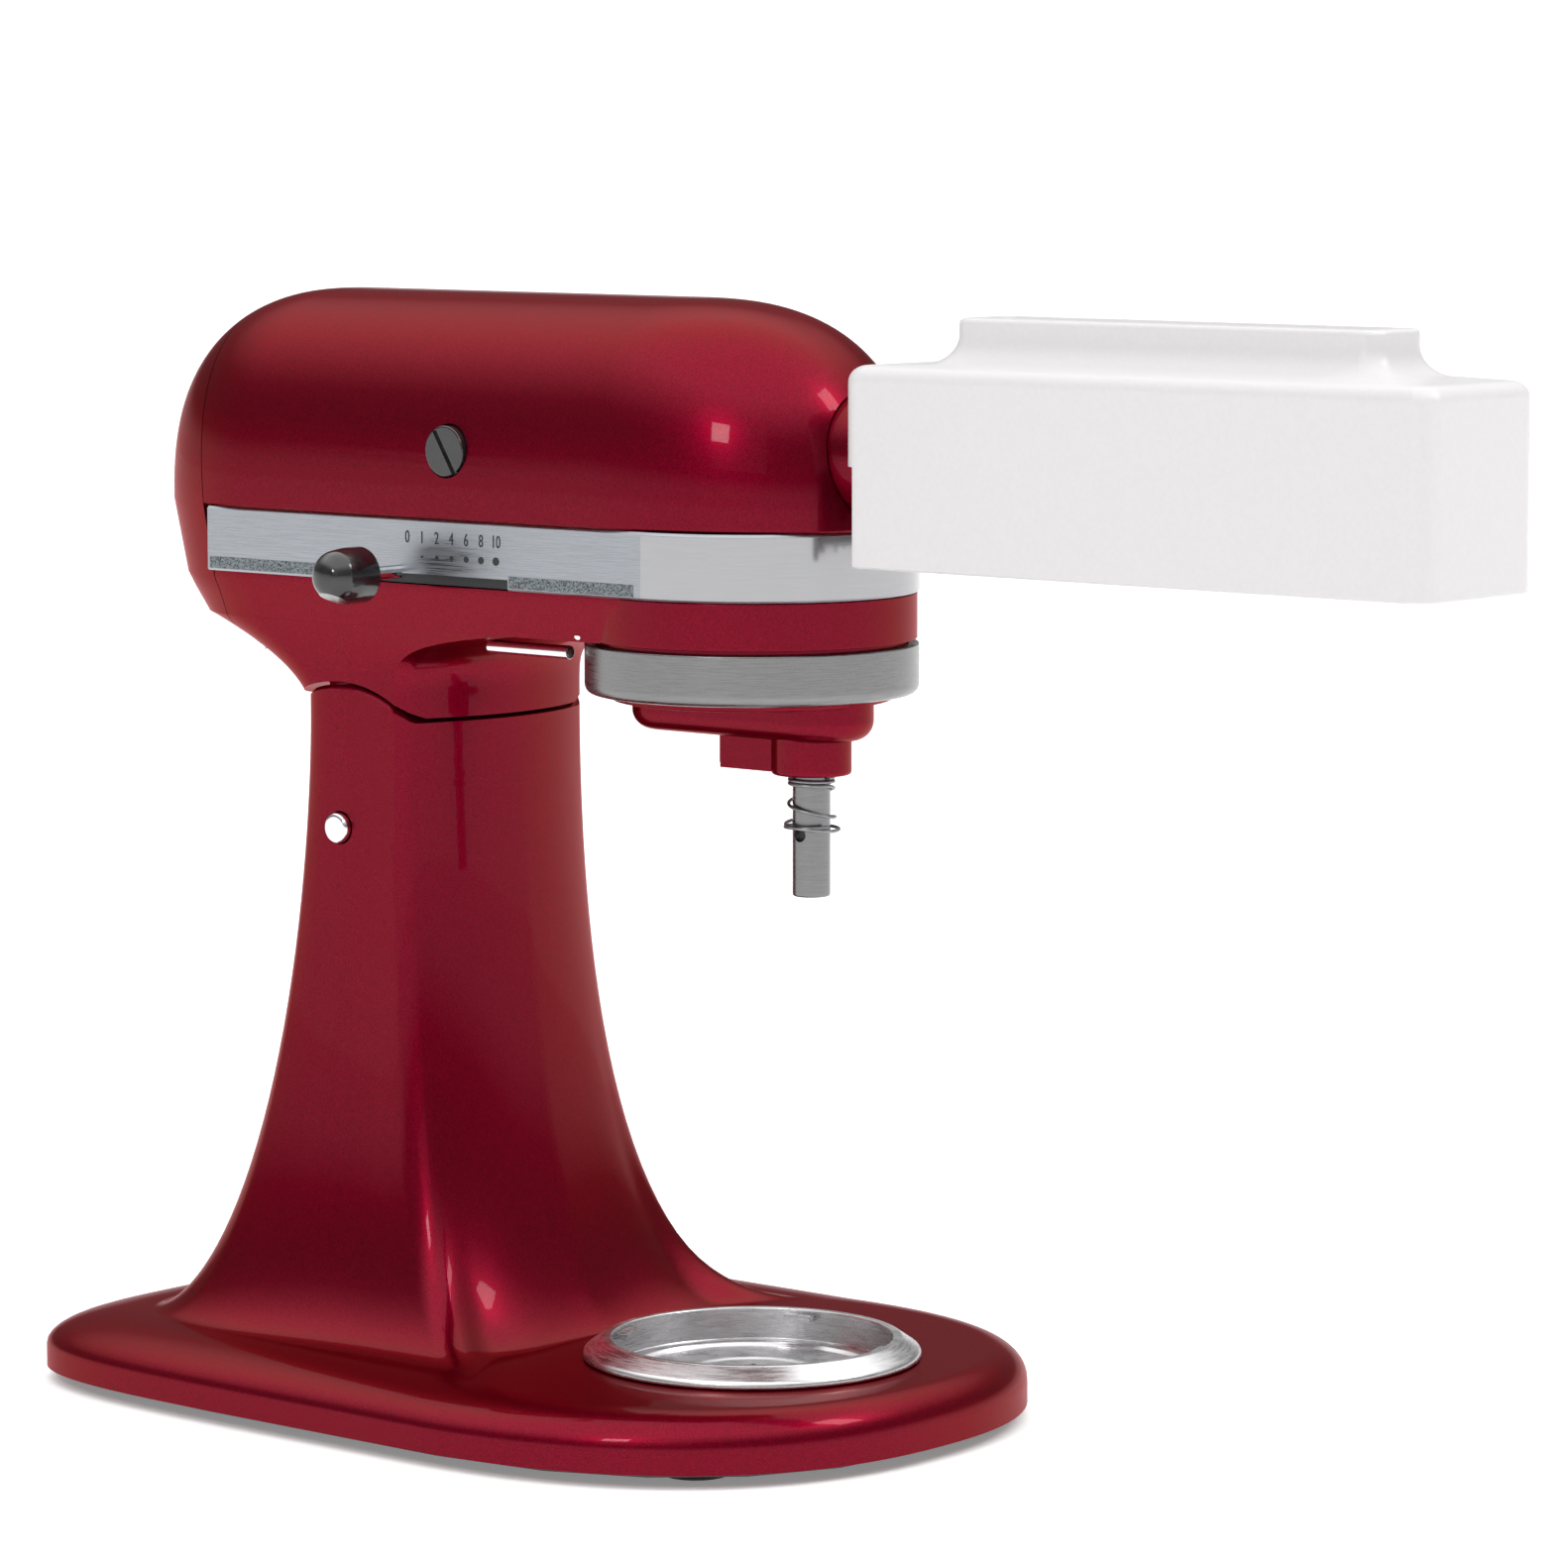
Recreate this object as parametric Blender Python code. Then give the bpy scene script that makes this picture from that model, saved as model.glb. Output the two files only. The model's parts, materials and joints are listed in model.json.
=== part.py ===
"""Tilt-head stand mixer with a roller meat tenderiser on its drive hub.

Metres, +Z up, +X towards the drive hub. While it is modelled, x = y = 0 is the bowl axis on the
floor; the last step moves everything so that the origin is the middle of the footprint.
"""

import math

import bmesh
import bpy
from mathutils import Matrix, Vector

# ------------------------------------------------------------------ driving dimensions
GAP = 0.0004                     # clearance between faces that touch or slide

# stand: foot and column in one casting
FOOT_REAR, FOOT_FRONT = -0.238, 0.077
FOOT_HALF_WIDTH = 0.110
FOOT_TOP, FOOT_UNDERSIDE = 0.0225, 0.0045
RIM_RADIUS = 0.011
REAR_RIM = 0.026                 # the rim slopes over this width at the sides and rear
COLUMN_REAR, COLUMN_CENTRE, COLUMN_FRONT = -0.158, -0.134, -0.098
COLUMN_HALF_WIDTH = 0.0440
COLUMN_EDGE, COLUMN_CORNER = (-0.1085, 0.0405), (-0.1125, 0.0436)   # ends of its corner facet
COLUMN_TOP = 0.2195
STAND_WALL = 0.0045
HINGE_X, HINGE_Z = -0.136, 0.184
EAR_RADIUS = 0.046               # round top of the column's cheeks, about the hinge
HINGE_PIN_RADIUS = 0.005
RIDGE = 2 * math.pi * 5 / 28     # where the side flare's front edge leaves the column
RIDGE_ON_FOOT = math.radians(86)
CHEEK_GAP_HALF_WIDTH = 0.0362    # the neck's hinge lug turns between the column's cheeks
FACET_START = 28 / 30            # the facet begins at this share of the ridge's angle
STAND_POINTS = 28                # points round each of the stand's rings

# bowl plate
BOWL_FLANGE_RADIUS, BOWL_WALL_RADIUS, BOWL_DISH_RADIUS = 0.0535, 0.0465, 0.0445
BOWL_FLOOR = FOOT_TOP - 0.0055
BOWL_RIM = FOOT_TOP + 0.0065

# motor head
HEAD_HALF_WIDTH = 0.0530
HEAD_TOP = 0.3550
NOSE_START, NOSE_LENGTH = -0.025, 0.078
TAIL_START, TAIL_LENGTH = -0.168, 0.064
HEAD_WALL = 0.0035
HEAD_POINTS = 28                 # points round each of the head's rings
CROWN_STEPS, CROWN_REACH = 6, 0.955
BAND_LOW, BAND_HIGH = 0.265, 0.286
BAND_OUT, BAND_IN = 0.0524, 0.0510
BAND_REAR = -0.1868
SEAM = BAND_LOW                  # upper and lower housings meet behind the band
WIDEST_Z = BAND_HIGH + 0.0006
SKIRT_INSET = 0.0035             # the upper housing's skirt stands behind the band
REAR_JOINT = (-0.192, 0, 0.307)  # the rear cover's joint passes here, leaning back
REAR_LEAN = math.radians(6)
SLOT_LEVER = (-0.112, -0.055)    # the speed lever's slot, along X
SLOT_LEVER_TOP = 0.2716
CAP_X = -0.081                   # motor brushes and their caps
CAP_RADIUS = 0.0080
TRAY_HALF_WIDTH, TRAY_REAR, TRAY_FRONT, TRAY_Z = 0.0465, -0.2175, -0.0560, 0.2500
TRAY_WALL_FRONT = -0.004         # the tray's side walls end inside the gearcase
# half width, rear, height
TRAY_LEVELS = ((TRAY_HALF_WIDTH, TRAY_REAR, TRAY_Z + 0.0002), (0.0485, -0.2235, 0.2575),
               (0.0505, -0.2262, 0.2625))
NECK_STEPS, NECK_POWER, ARCH_POWER, NECK_BLEND = 5, 1.85, 6.0, 0.6
TRAY_FLOOR = 0.2545
LUG_RADIUS, LUG_HALF_WIDTH = 0.014, 0.0350
GEARCASE_RADIUS, GEARCASE_LOW = 0.0485, 0.238
GEARCASE_SHOULDER, GEARCASE_SHOULDER_Z = 0.0516, 0.2502
DRIP_LOW, DRIP_HIGH, DRIP_RADIUS = 0.233, 0.249, 0.0522
HUB_Z = 0.3075                   # also the motor axis
HUB_RADIUS, HUB_BORE, HUB_FRONT = 0.0200, 0.0132, 0.057
KNOB_X = 0.050                   # clamp knob on the hub socket's left side

# shafts and gear train
RING_GEAR_RADIUS = 0.0380
SHAFT_RADIUS, SHAFT_BORE = 0.0040, 0.0044
MODULE = 0.0020                  # spur and planetary teeth
BEATER_OFFSET = 0.024
RING_TEETH, PLANET_TEETH = 33, 9
CENTRE_TEETH, PINION_TEETH = 33, 12
WORM_STARTS, WORM_WHEEL_TEETH = 4, 24
WORM_MODULE, WORM_RADIUS = 0.0015, 0.0055
BEVEL_TEETH, BEVEL_RADIUS = 12, 0.016
CENTRE_SHAFT_RADIUS, CENTRE_SHAFT_TOP_RADIUS = 0.0066, 0.0060
TOP_BORE = CENTRE_SHAFT_TOP_RADIUS + GAP
SQUARE_SOCKET, SQUARE_TIP = 0.0049, 0.0043
ARM_LOW, ARM_SEAT, ARM_PLATE_LOW, ARM_PLATE_TOP = 0.2200, 0.2330, 0.2310, 0.2362
ARM_HALF_LENGTH, ARM_HALF_WIDTH, ARM_PLATE_RADIUS = 0.0445, 0.0160, 0.0440
BOSS_LOW, BOSS_RADIUS = 0.209, 0.0125
BEATER_LOW, BEATER_RADIUS, BEATER_PIN_Z = 0.171, 0.0059, 0.1915
JOURNAL_RADIUS, JOURNAL_LOW = 0.0095, 0.2110   # the beater shaft's bearing inside the boss
WHEEL_RADIUS = WORM_MODULE * WORM_WHEEL_TEETH / 2
LAYSHAFT_Y = WORM_RADIUS + WHEEL_RADIUS
LAYSHAFT_X = -math.sqrt((MODULE * (CENTRE_TEETH + PINION_TEETH) / 2) ** 2 - LAYSHAFT_Y ** 2)

# tenderiser on the hub
COVER_REAR, COVER_FRONT = 0.058, 0.271
COVER_HALF_WIDTH = 0.028
COVER_LOW, COVER_TOP, COLLAR_TOP = 0.2765, 0.3375, 0.3520
COVER_WALL = 0.0020
SLOT_REAR, SLOT_FRONT, SLOT_HALF_WIDTH = 0.096, 0.236, 0.0065
ROLLER_Y, ROLLER_Z = 0.012, HUB_Z - 0.016
ROLLER_RADIUS, ROLLER_CORE = 0.0130, 0.0070
ROLLER_REAR, ROLLER_FRONT = 0.088, 0.250
BLADES, BLADE_TEETH, BLADE_THICKNESS = 8, 5, 0.0034
ROLLER_MODULE = 0.002
ROLLER_GEAR_TEETH, DRIVE_GEAR_TEETH = 12, 8
GEAR_PLANE_DRIVE, GEAR_PLANE_PAIR = (0.0795, 0.0835), (0.0842, 0.0875)
PLATE, FRONT_PLATE = (0.0700, 0.0750), (0.2590, 0.2640)
PLATE_HALF_WIDTH = 0.0248
SHANK_RADIUS, SHANK_BORE, SHANK_REAR = 0.0127, 0.0070, 0.0360
AXLE_RADIUS, AXLE_BORE = 0.0033, 0.0038
THRUST_COLLAR_RADIUS = 0.0160    # on the attachment's drive shaft, behind its gear
CORNER = 0.007

# ------------------------------------------------------------------ scene and helpers
for old in list(bpy.data.objects):
    bpy.data.objects.remove(old)

FACING_X = Matrix(((0, 0, 1, 0), (1, 0, 0, 0), (0, 1, 0, 0), (0, 0, 0, 1)))  # (u, v, w) to (w, u, v)
MATERIALS = {}


def material(name, colour, roughness, metallic=0.0):
    made = bpy.data.materials.new(name)
    made.use_nodes = True
    shader = made.node_tree.nodes["Principled BSDF"]
    shader.inputs["Base Color"].default_value = (*colour, 1)
    shader.inputs["Roughness"].default_value = roughness
    shader.inputs["Metallic"].default_value = metallic
    made.diffuse_color = (*colour, 1)
    MATERIALS[name] = made


material("red_enamel", (0.42, 0.008, 0.035), 0.2, 0.2)
material("brushed_steel", (0.62, 0.63, 0.65), 0.32, 1.0)
material("chrome", (0.80, 0.80, 0.82), 0.1, 1.0)
material("dark_steel", (0.30, 0.30, 0.31), 0.4, 1.0)
material("black_plastic", (0.015, 0.015, 0.017), 0.35)
material("black_rubber", (0.02, 0.02, 0.02), 0.8)
material("white_plastic", (0.80, 0.79, 0.79), 0.35)
material("nylon", (0.75, 0.72, 0.62), 0.5)
material("brass", (0.70, 0.50, 0.20), 0.3, 1.0)
material("copper", (0.65, 0.25, 0.12), 0.35, 1.0)

machine = bpy.data.objects.new("machine", None)
bpy.context.scene.collection.objects.link(machine)
BODIES = {}


def body(name, at, parent=machine):
    """An empty on a joint's axis, which carries the pieces that move with it."""
    empty = bpy.data.objects.new("body_" + name, None)
    bpy.context.scene.collection.objects.link(empty)
    empty.parent = parent
    start = BODIES[parent.name][1] if parent.name in BODIES else Vector()
    empty.location = Vector(at) - start
    BODIES[empty.name] = (empty, Vector(at))
    return empty


def piece(name, mesh, finish, carrier, at=(0, 0, 0), smooth_angle=35):
    """Turns a bmesh, whose points are relative to at, into a named object on its body."""
    bmesh.ops.recalc_face_normals(mesh, faces=mesh.faces)
    data = bpy.data.meshes.new(name)
    mesh.to_mesh(data)
    mesh.free()
    data.materials.append(MATERIALS[finish])
    data.shade_smooth()
    data.set_sharp_from_angle(angle=math.radians(smooth_angle))
    made = bpy.data.objects.new(name, data)
    bpy.context.scene.collection.objects.link(made)
    made.parent = carrier
    made.location = Vector(at) - BODIES[carrier.name][1]
    return made


def cut(target, cutter_mesh, at=(0, 0, 0), operation="DIFFERENCE"):
    """Adds a Boolean whose hidden cutter is made from a bmesh."""
    bmesh.ops.recalc_face_normals(cutter_mesh, faces=cutter_mesh.faces)
    data = bpy.data.meshes.new(target.name + "_cutter")
    cutter_mesh.to_mesh(data)
    cutter_mesh.free()
    cutter = bpy.data.objects.new(data.name, data)
    bpy.context.scene.collection.objects.link(cutter)
    cutter.parent = target.parent
    cutter.location = Vector(at) - BODIES[target.parent.name][1]
    cutter.hide_render = True
    cutter.display_type = "WIRE"
    modifier = target.modifiers.new("boolean", "BOOLEAN")
    modifier.operation = operation
    modifier.object = cutter
    modifier.solver = "EXACT"
    return modifier


def along(axis):
    """The turn that takes +Z to the named axis."""
    turns = {
        "z": Matrix.Identity(4),
        "x": Matrix.Rotation(math.pi / 2, 4, "Y"),
        "y": Matrix.Rotation(-math.pi / 2, 4, "X"),
    }
    return turns[axis]


def turned(profile, axis="z", sides=24):
    """A closed solid of revolution. profile is a closed list of (radius, height)."""
    mesh = bmesh.new()
    rings = []
    for radius, height in profile:
        if radius < 1e-7:
            rings.append([mesh.verts.new((0, 0, height))] * sides)
            continue
        rings.append([
            mesh.verts.new((
                radius * math.cos(2 * math.pi * k / sides),
                radius * math.sin(2 * math.pi * k / sides),
                height,
            ))
            for k in range(sides)
        ])
    for first, second in zip(rings, rings[1:] + rings[:1]):
        for k in range(sides):
            corners = [first[k], first[(k + 1) % sides], second[(k + 1) % sides], second[k]]
            unique = list(dict.fromkeys(corners))
            if len(unique) > 2:
                mesh.faces.new(unique)
    mesh.transform(along(axis))
    return mesh


def rod(radius, low, high, axis="z", sides=16, chamfer=0.0):
    if chamfer:
        profile = [(0, low), (radius - chamfer, low), (radius, low + chamfer),
                   (radius, high - chamfer), (radius - chamfer, high), (0, high)]
    else:
        profile = [(0, low), (radius, low), (radius, high), (0, high)]
    return turned(profile, axis, sides)


def tube(outer, inner, low, high, axis="z", sides=24):
    return turned([(inner, low), (outer, low), (outer, high), (inner, high)], axis, sides)


def loft(rings, closed=False):
    """Joins rings of points, all with the same count, and caps the two ends unless they meet."""
    mesh = bmesh.new()
    made = [[mesh.verts.new(point) for point in ring] for ring in rings]
    count = len(made[0])
    pairs = list(zip(made, made[1:] + made[:1])) if closed else list(zip(made, made[1:]))
    for first, second in pairs:
        for k in range(count):
            mesh.faces.new((first[k], first[(k + 1) % count], second[(k + 1) % count], second[k]))
    if not closed:
        mesh.faces.new(made[0])
        mesh.faces.new(made[-1])
    return mesh


def prism(outline, low, high, axis="z"):
    """Extrudes a flat outline. For axis y the outline is (x, z); for axis x it is (y, z)."""
    def point(u, v, w):
        return {"z": (u, v, w), "y": (u, w, v), "x": (w, u, v)}[axis]
    return loft([[point(u, v, low) for u, v in outline], [point(u, v, high) for u, v in outline]])


def block(low, high):
    return prism([(low[0], low[1]), (high[0], low[1]), (high[0], high[1]), (low[0], high[1])],
                 low[2], high[2])


def rounded_rectangle(half_x, half_y, radius, steps=4, centre=(0, 0)):
    points = []
    corners = ((1, 1, 0), (-1, 1, 90), (-1, -1, 180), (1, -1, 270))
    for side_x, side_y, start in corners:
        for k in range(steps + 1):
            angle = math.radians(start + 90 * k / steps)
            points.append((
                centre[0] + side_x * (half_x - radius) + radius * math.cos(angle),
                centre[1] + side_y * (half_y - radius) + radius * math.sin(angle),
            ))
    return points


def super_wave(angle, exponent):
    """(cos, sin) of the angle, pushed out from the unit circle to a superellipse."""
    def shaped(value):
        return math.copysign(abs(value) ** (2 / exponent), value)
    return shaped(math.cos(angle)), shaped(math.sin(angle))


def tooth_outline(teeth, pitch_radius, module, phase=0.0, share=0.40, internal=False):
    """A gear's outline with four points a tooth; a tooth is centred on the phase angle."""
    tip = pitch_radius + (0.85 if not internal else 1.1) * module
    root = pitch_radius - (1.1 if not internal else 0.85) * module
    step = 2 * math.pi / teeth
    wide, narrow = share * step * 0.66, share * step * 0.30
    if internal:
        wide, narrow = share * step * 0.72, share * step * 0.44
    points = []
    for k in range(teeth):
        middle = phase + k * step
        for offset, radius in ((-wide, root), (-narrow, tip), (narrow, tip), (wide, root)):
            points.append((radius * math.cos(middle + offset), radius * math.sin(middle + offset)))
    return points


def toothed(outline, low, high, axis="z", twist=0.0, layers=1):
    """Extrudes a gear's outline, turning it by twist along its width."""
    rings = []
    for k in range(layers + 1):
        share = k / layers
        turn = Matrix.Rotation(twist * (share - 0.5), 4, "Z")
        rings.append([turn @ Vector((u, v, low + (high - low) * share)) for u, v in outline])
    mesh = loft(rings)
    if axis == "x":
        mesh.transform(FACING_X)
    return mesh


def gear(name, outline, low, high, bore, finish, carrier, at, axis="z", twist=0.0):
    """A gear or other toothed plate with a round bore."""
    made = piece(name, toothed(outline, low, high, axis, twist), finish, carrier, at)
    cut(made, rod(bore, low - 0.002, high + 0.002, axis, 16), at)
    return made


# ------------------------------------------------------------------ stand
def cornered_outline(front, edge, corner, centre, half_width, rear_point, inset):
    """Plan with a broad front, a narrow facet at each front corner and straight sides.

    The facet runs from edge to corner; rear_point gives the plan behind the sides by its angle.
    """
    ring = []
    for k in range(STAND_POINTS):
        turn = 2 * math.pi * k / STAND_POINTS
        angle = min(turn, 2 * math.pi - turn)
        share = angle / RIDGE
        if share <= FACET_START:
            x = front + (edge[0] - front) * (share / FACET_START) ** 2 - inset
            y = edge[1] * share / FACET_START
        elif share < 1.001:
            step = (share - FACET_START) / (1 - FACET_START)
            x = edge[0] + (corner[0] - edge[0]) * step - inset
            y = edge[1] + (corner[1] - edge[1]) * step
        elif angle < math.pi / 2 + 0.001:
            step = (angle - RIDGE) / (math.pi / 2 - RIDGE)
            x = corner[0] + (centre - corner[0]) * step - inset * (1 - step)
            y = corner[1] + (half_width - corner[1]) * step
        else:
            x, y = rear_point(angle)
        side = 1 if turn <= math.pi else -1
        ring.append((x, side * y * (1 - inset / half_width)))
    return ring


def column_outline(inset=0.0):
    """Plan of the column: flat sides, a broad convex front and a round rear."""
    def rear_point(angle):
        wave_x, wave_y = super_wave(angle, 4.5)
        return (COLUMN_CENTRE + (COLUMN_CENTRE - COLUMN_REAR - inset) * wave_x,
                COLUMN_HALF_WIDTH * wave_y)
    return cornered_outline(COLUMN_FRONT, COLUMN_EDGE, COLUMN_CORNER, COLUMN_CENTRE,
                            COLUMN_HALF_WIDTH, rear_point, inset)


def foot_outline(inset=0.0, rear_inset=0.0):
    """Plan of the foot: wide and round at the front, square at the rear.

    rear_inset is added to the inset at the sides and rear.
    """
    centre = -0.052
    points = []
    for k in range(STAND_POINTS):
        turn = 2 * math.pi * k / STAND_POINTS
        angle = min(turn, 2 * math.pi - turn)
        if angle < RIDGE:
            angle *= RIDGE_ON_FOOT / RIDGE
        else:
            angle = math.pi - (math.pi - angle) * (math.pi - RIDGE_ON_FOOT) / (math.pi - RIDGE)
        wave_x, wave_y = super_wave(angle, 2.35 if angle < math.pi / 2 else 6.0)
        inwards = inset + rear_inset * min(1.0, angle / RIDGE_ON_FOOT) ** 3
        reach = (FOOT_FRONT - centre if wave_x > 0 else centre - FOOT_REAR) - inwards
        side = 1 if turn <= math.pi else -1
        points.append((centre + reach * wave_x, side * (FOOT_HALF_WIDTH - inwards) * wave_y))
    return points


def flare_shape(k):
    """How far out, as a share of the way to the foot's edge, the flare ends, and how sharp it is."""
    turn = 2 * math.pi * k / STAND_POINTS
    angle = min(turn, 2 * math.pi - turn)
    if angle >= RIDGE - 0.02:
        return 0.96, 4.2 - 0.9 * min(1.0, (angle - RIDGE + 0.02) / 0.9)
    share = angle / RIDGE
    return 0.24 + 0.36 * share ** 2.2, 3.2 + 0.4 * share


def column_top(x):
    """The column's top edge: flat at the front, and a round about the hinge at the rear."""
    reach = x - HINGE_X
    if abs(reach) >= EAR_RADIUS:
        return COLUMN_TOP
    return max(COLUMN_TOP, HINGE_Z + math.sqrt(EAR_RADIUS ** 2 - reach ** 2))


def stand_rings(inset, steps):
    """Rings from the column's top edge, down its flare and round the foot's rim."""
    column, foot = column_outline(inset), foot_outline(inset + RIM_RADIUS, REAR_RIM - RIM_RADIUS)
    edge = foot_outline(inset)
    top, low = COLUMN_TOP, FOOT_TOP - inset
    rings = []
    for step in range(steps + 1):
        angle = math.pi / 2 * step / steps
        ring = []
        for k, ((cx, cy), (fx, fy)) in enumerate(zip(column, foot)):
            end, power = flare_shape(k)
            out, up = end * math.sin(angle) ** power, math.cos(angle) ** power
            ring.append((cx + (fx - cx) * out, cy + (fy - cy) * out, low + (top - low) * up))
        rings.append(ring)
    rings.append([(x, y, low) for x, y in foot])
    rings[0] = [(x, y, column_top(x) - 0.001 * (inset > 0)) for x, y, _ in rings[0]]
    for share in (0.5, 1.0):
        angle = math.pi / 2 * share
        ring = []
        for (fx, fy), (ex, ey) in zip(foot, edge):
            out = math.sin(angle)
            ring.append((fx + (ex - fx) * out, fy + (ey - fy) * out,
                         low - RIM_RADIUS * (1 - math.cos(angle))))
        rings.append(ring)
    rings.append([(x, y, FOOT_UNDERSIDE) for x, y in edge])
    return rings


stand = body("stand", (0, 0, 0))
outer = stand_rings(0.0, 6)
inner = stand_rings(STAND_WALL, 6)
stand_casting = piece("stand_casting", loft(outer + inner[::-1], closed=True), "red_enamel", stand)
cut(stand_casting, rod(HINGE_PIN_RADIUS + GAP, -0.07, 0.07, "y", 16), (HINGE_X, 0, HINGE_Z))
cut(stand_casting, block((-0.18, -CHEEK_GAP_HALF_WIDTH, HINGE_Z - 0.013),
                         (HINGE_X, CHEEK_GAP_HALF_WIDTH, 0.26)))
cut(stand_casting, rod(BOWL_WALL_RADIUS + 0.0012, 0.010, 0.060, "z", 24))

base_outline = foot_outline(STAND_WALL + 0.0015)
base_plate = piece("base_plate", prism(base_outline, 0.0025, 0.0055), "black_plastic", stand)
for name, x, y in (("foot_front_left", 0.030, 0.062), ("foot_front_right", 0.030, -0.062),
                   ("foot_rear_left", -0.190, 0.068), ("foot_rear_right", -0.190, -0.068)):
    piece(name, turned([(0, 0), (0.0105, 0), (0.012, 0.001), (0.0115, 0.0022), (0, 0.0022)], "z", 20),
          "black_rubber", stand, (x, y, 0))

bowl_profile = [
    (0, BOWL_FLOOR), (0.038, BOWL_FLOOR), (0.041, BOWL_FLOOR + 0.0018),
    (BOWL_DISH_RADIUS, BOWL_FLOOR + 0.0018), (BOWL_DISH_RADIUS, BOWL_RIM),
    (BOWL_WALL_RADIUS + 0.0005, BOWL_RIM), (BOWL_FLANGE_RADIUS, FOOT_TOP + 0.0025),
    (BOWL_FLANGE_RADIUS, FOOT_TOP + GAP), (BOWL_WALL_RADIUS, FOOT_TOP + GAP),
    (BOWL_WALL_RADIUS, BOWL_FLOOR - 0.0020), (0, BOWL_FLOOR - 0.0020),
]
piece("bowl_plate", turned(bowl_profile, "z", 24), "brushed_steel", stand)
piece("bowl_plate_screw", turned([(0, 0.0003), (0.0055, 0.0003), (0.0055, 0.0015), (0.0035, 0.0027),
                                  (0, 0.0027)], "z", 16), "chrome", stand, (0, 0, BOWL_FLOOR))
PIN_HALF_LENGTH = COLUMN_HALF_WIDTH + 0.003
piece("hinge_pin", rod(HINGE_PIN_RADIUS, -PIN_HALF_LENGTH, PIN_HALF_LENGTH, "y", 20, 0.0012),
      "chrome", stand, (HINGE_X, 0, HINGE_Z))

# ------------------------------------------------------------------ motor head castings
head = body("head", (HINGE_X, 0, HINGE_Z))


def head_outline(lift, inset=0.0):
    """Plan of the head where lift, 0 to 90 degrees, runs from its widest line to its crown."""
    wide = math.cos(lift) ** (2 / 2.5)
    nose, tail = math.cos(lift) ** (2 / 2.6), math.cos(lift) ** (2 / 2.25)
    ring = []
    for k in range(HEAD_POINTS):
        wave_x, wave_y = super_wave(2 * math.pi * k / HEAD_POINTS, 2.3)
        if wave_x > 0:
            x = NOSE_START + (NOSE_LENGTH * nose - inset) * wave_x
        else:
            x = TAIL_START + (TAIL_LENGTH * tail - inset) * wave_x
        ring.append((x, (HEAD_HALF_WIDTH * wide - inset) * wave_y))
    return ring


def crown_rings(inset):
    """Rings from the head's widest line, just above the band, up to its crown."""
    rings = [[(x, y, WIDEST_Z) for x, y in head_outline(0, inset)]]
    height = HEAD_TOP - BAND_HIGH - inset
    for step in range(1, CROWN_STEPS + 1):
        lift = math.pi / 2 * (step / CROWN_STEPS) * CROWN_REACH
        rise = math.sin(lift) ** (2 / 2.5)
        rings.append([(x, y, WIDEST_Z + height * rise) for x, y in head_outline(lift, inset)])
    return rings


def upper_rings(inset):
    """The upper housing: a skirt that stands behind the band, and the crown."""
    skirt = head_outline(0, inset + SKIRT_INSET)
    return [[(x, y, z) for x, y in skirt] for z in (SEAM + GAP, BAND_HIGH)] + crown_rings(inset)


def rear_cutter(gap):
    """A big block behind the rear cover's joint."""
    mesh = block((-0.2, -0.1, -0.15), (-gap, 0.1, 0.15))
    mesh.transform(Matrix.Rotation(-REAR_LEAN, 4, "Y"))
    return mesh


upper_housing = piece("upper_housing",
                      loft(upper_rings(0.0)[::-1] + upper_rings(HEAD_WALL)),
                      "red_enamel", head)
cut(upper_housing, rear_cutter(0.0), REAR_JOINT)
cut(upper_housing, rod(HUB_RADIUS + GAP, 0.0, 0.08, "x", 32), (0, 0, HUB_Z))
cut(upper_housing, rod(CAP_RADIUS + GAP, -0.07, 0.07, "y", 20), (CAP_X, 0, HUB_Z))
cut(upper_housing, block((SLOT_LEVER[0], -0.06, 0.25), (SLOT_LEVER[1], -0.03, SLOT_LEVER_TOP)))
# lower housing: tray, neck down to the column and round gearcase


def tray_outline(half_width, rear, front, inset=0.0):
    """Plan of the head's lower body: square front corners and a round tail."""
    def rear_point(angle):
        wave_x, wave_y = super_wave(angle, 2.3)
        return TAIL_START - (rear - TAIL_START + inset) * wave_x, half_width * wave_y
    return cornered_outline(front, (front - 0.001, half_width - 0.003), (front - 0.004, half_width),
                            -0.13, half_width, rear_point, inset)


def neck_power(k):
    """How late the neck turns outwards: an arch in front, an even slope at the sides and rear."""
    turn = 2 * math.pi * k / STAND_POINTS
    beyond_ridge = (min(turn, 2 * math.pi - turn) - RIDGE) / NECK_BLEND
    return ARCH_POWER + (NECK_POWER - ARCH_POWER) * min(1.0, max(0.0, beyond_ridge))


def lower_rings(inset=0.0):
    """Rings from the column's plan, out over the neck, to the tray's rim.

    From a ledge just over the drip ring upwards, the tray's sides run on into the gearcase.
    """
    tray = tray_outline(TRAY_HALF_WIDTH, TRAY_REAR, TRAY_FRONT, inset)
    column = column_outline(inset)
    low = COLUMN_TOP + 0.0010
    rings = []
    for step in range(NECK_STEPS + 1):
        level = math.sin(math.pi / 2 * step / NECK_STEPS)
        ring = []
        for k, ((cx, cy), (tx, ty)) in enumerate(zip(column, tray)):
            out = level ** neck_power(k)
            ring.append((cx + (tx - cx) * out, cy + (ty - cy) * out, low + (TRAY_Z - low) * level))
        rings.append(ring)
    for half_width, rear, level in TRAY_LEVELS:
        rings.append([(x, y, level) for x, y in tray_outline(half_width, rear, TRAY_WALL_FRONT, inset)])
    return rings


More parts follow.
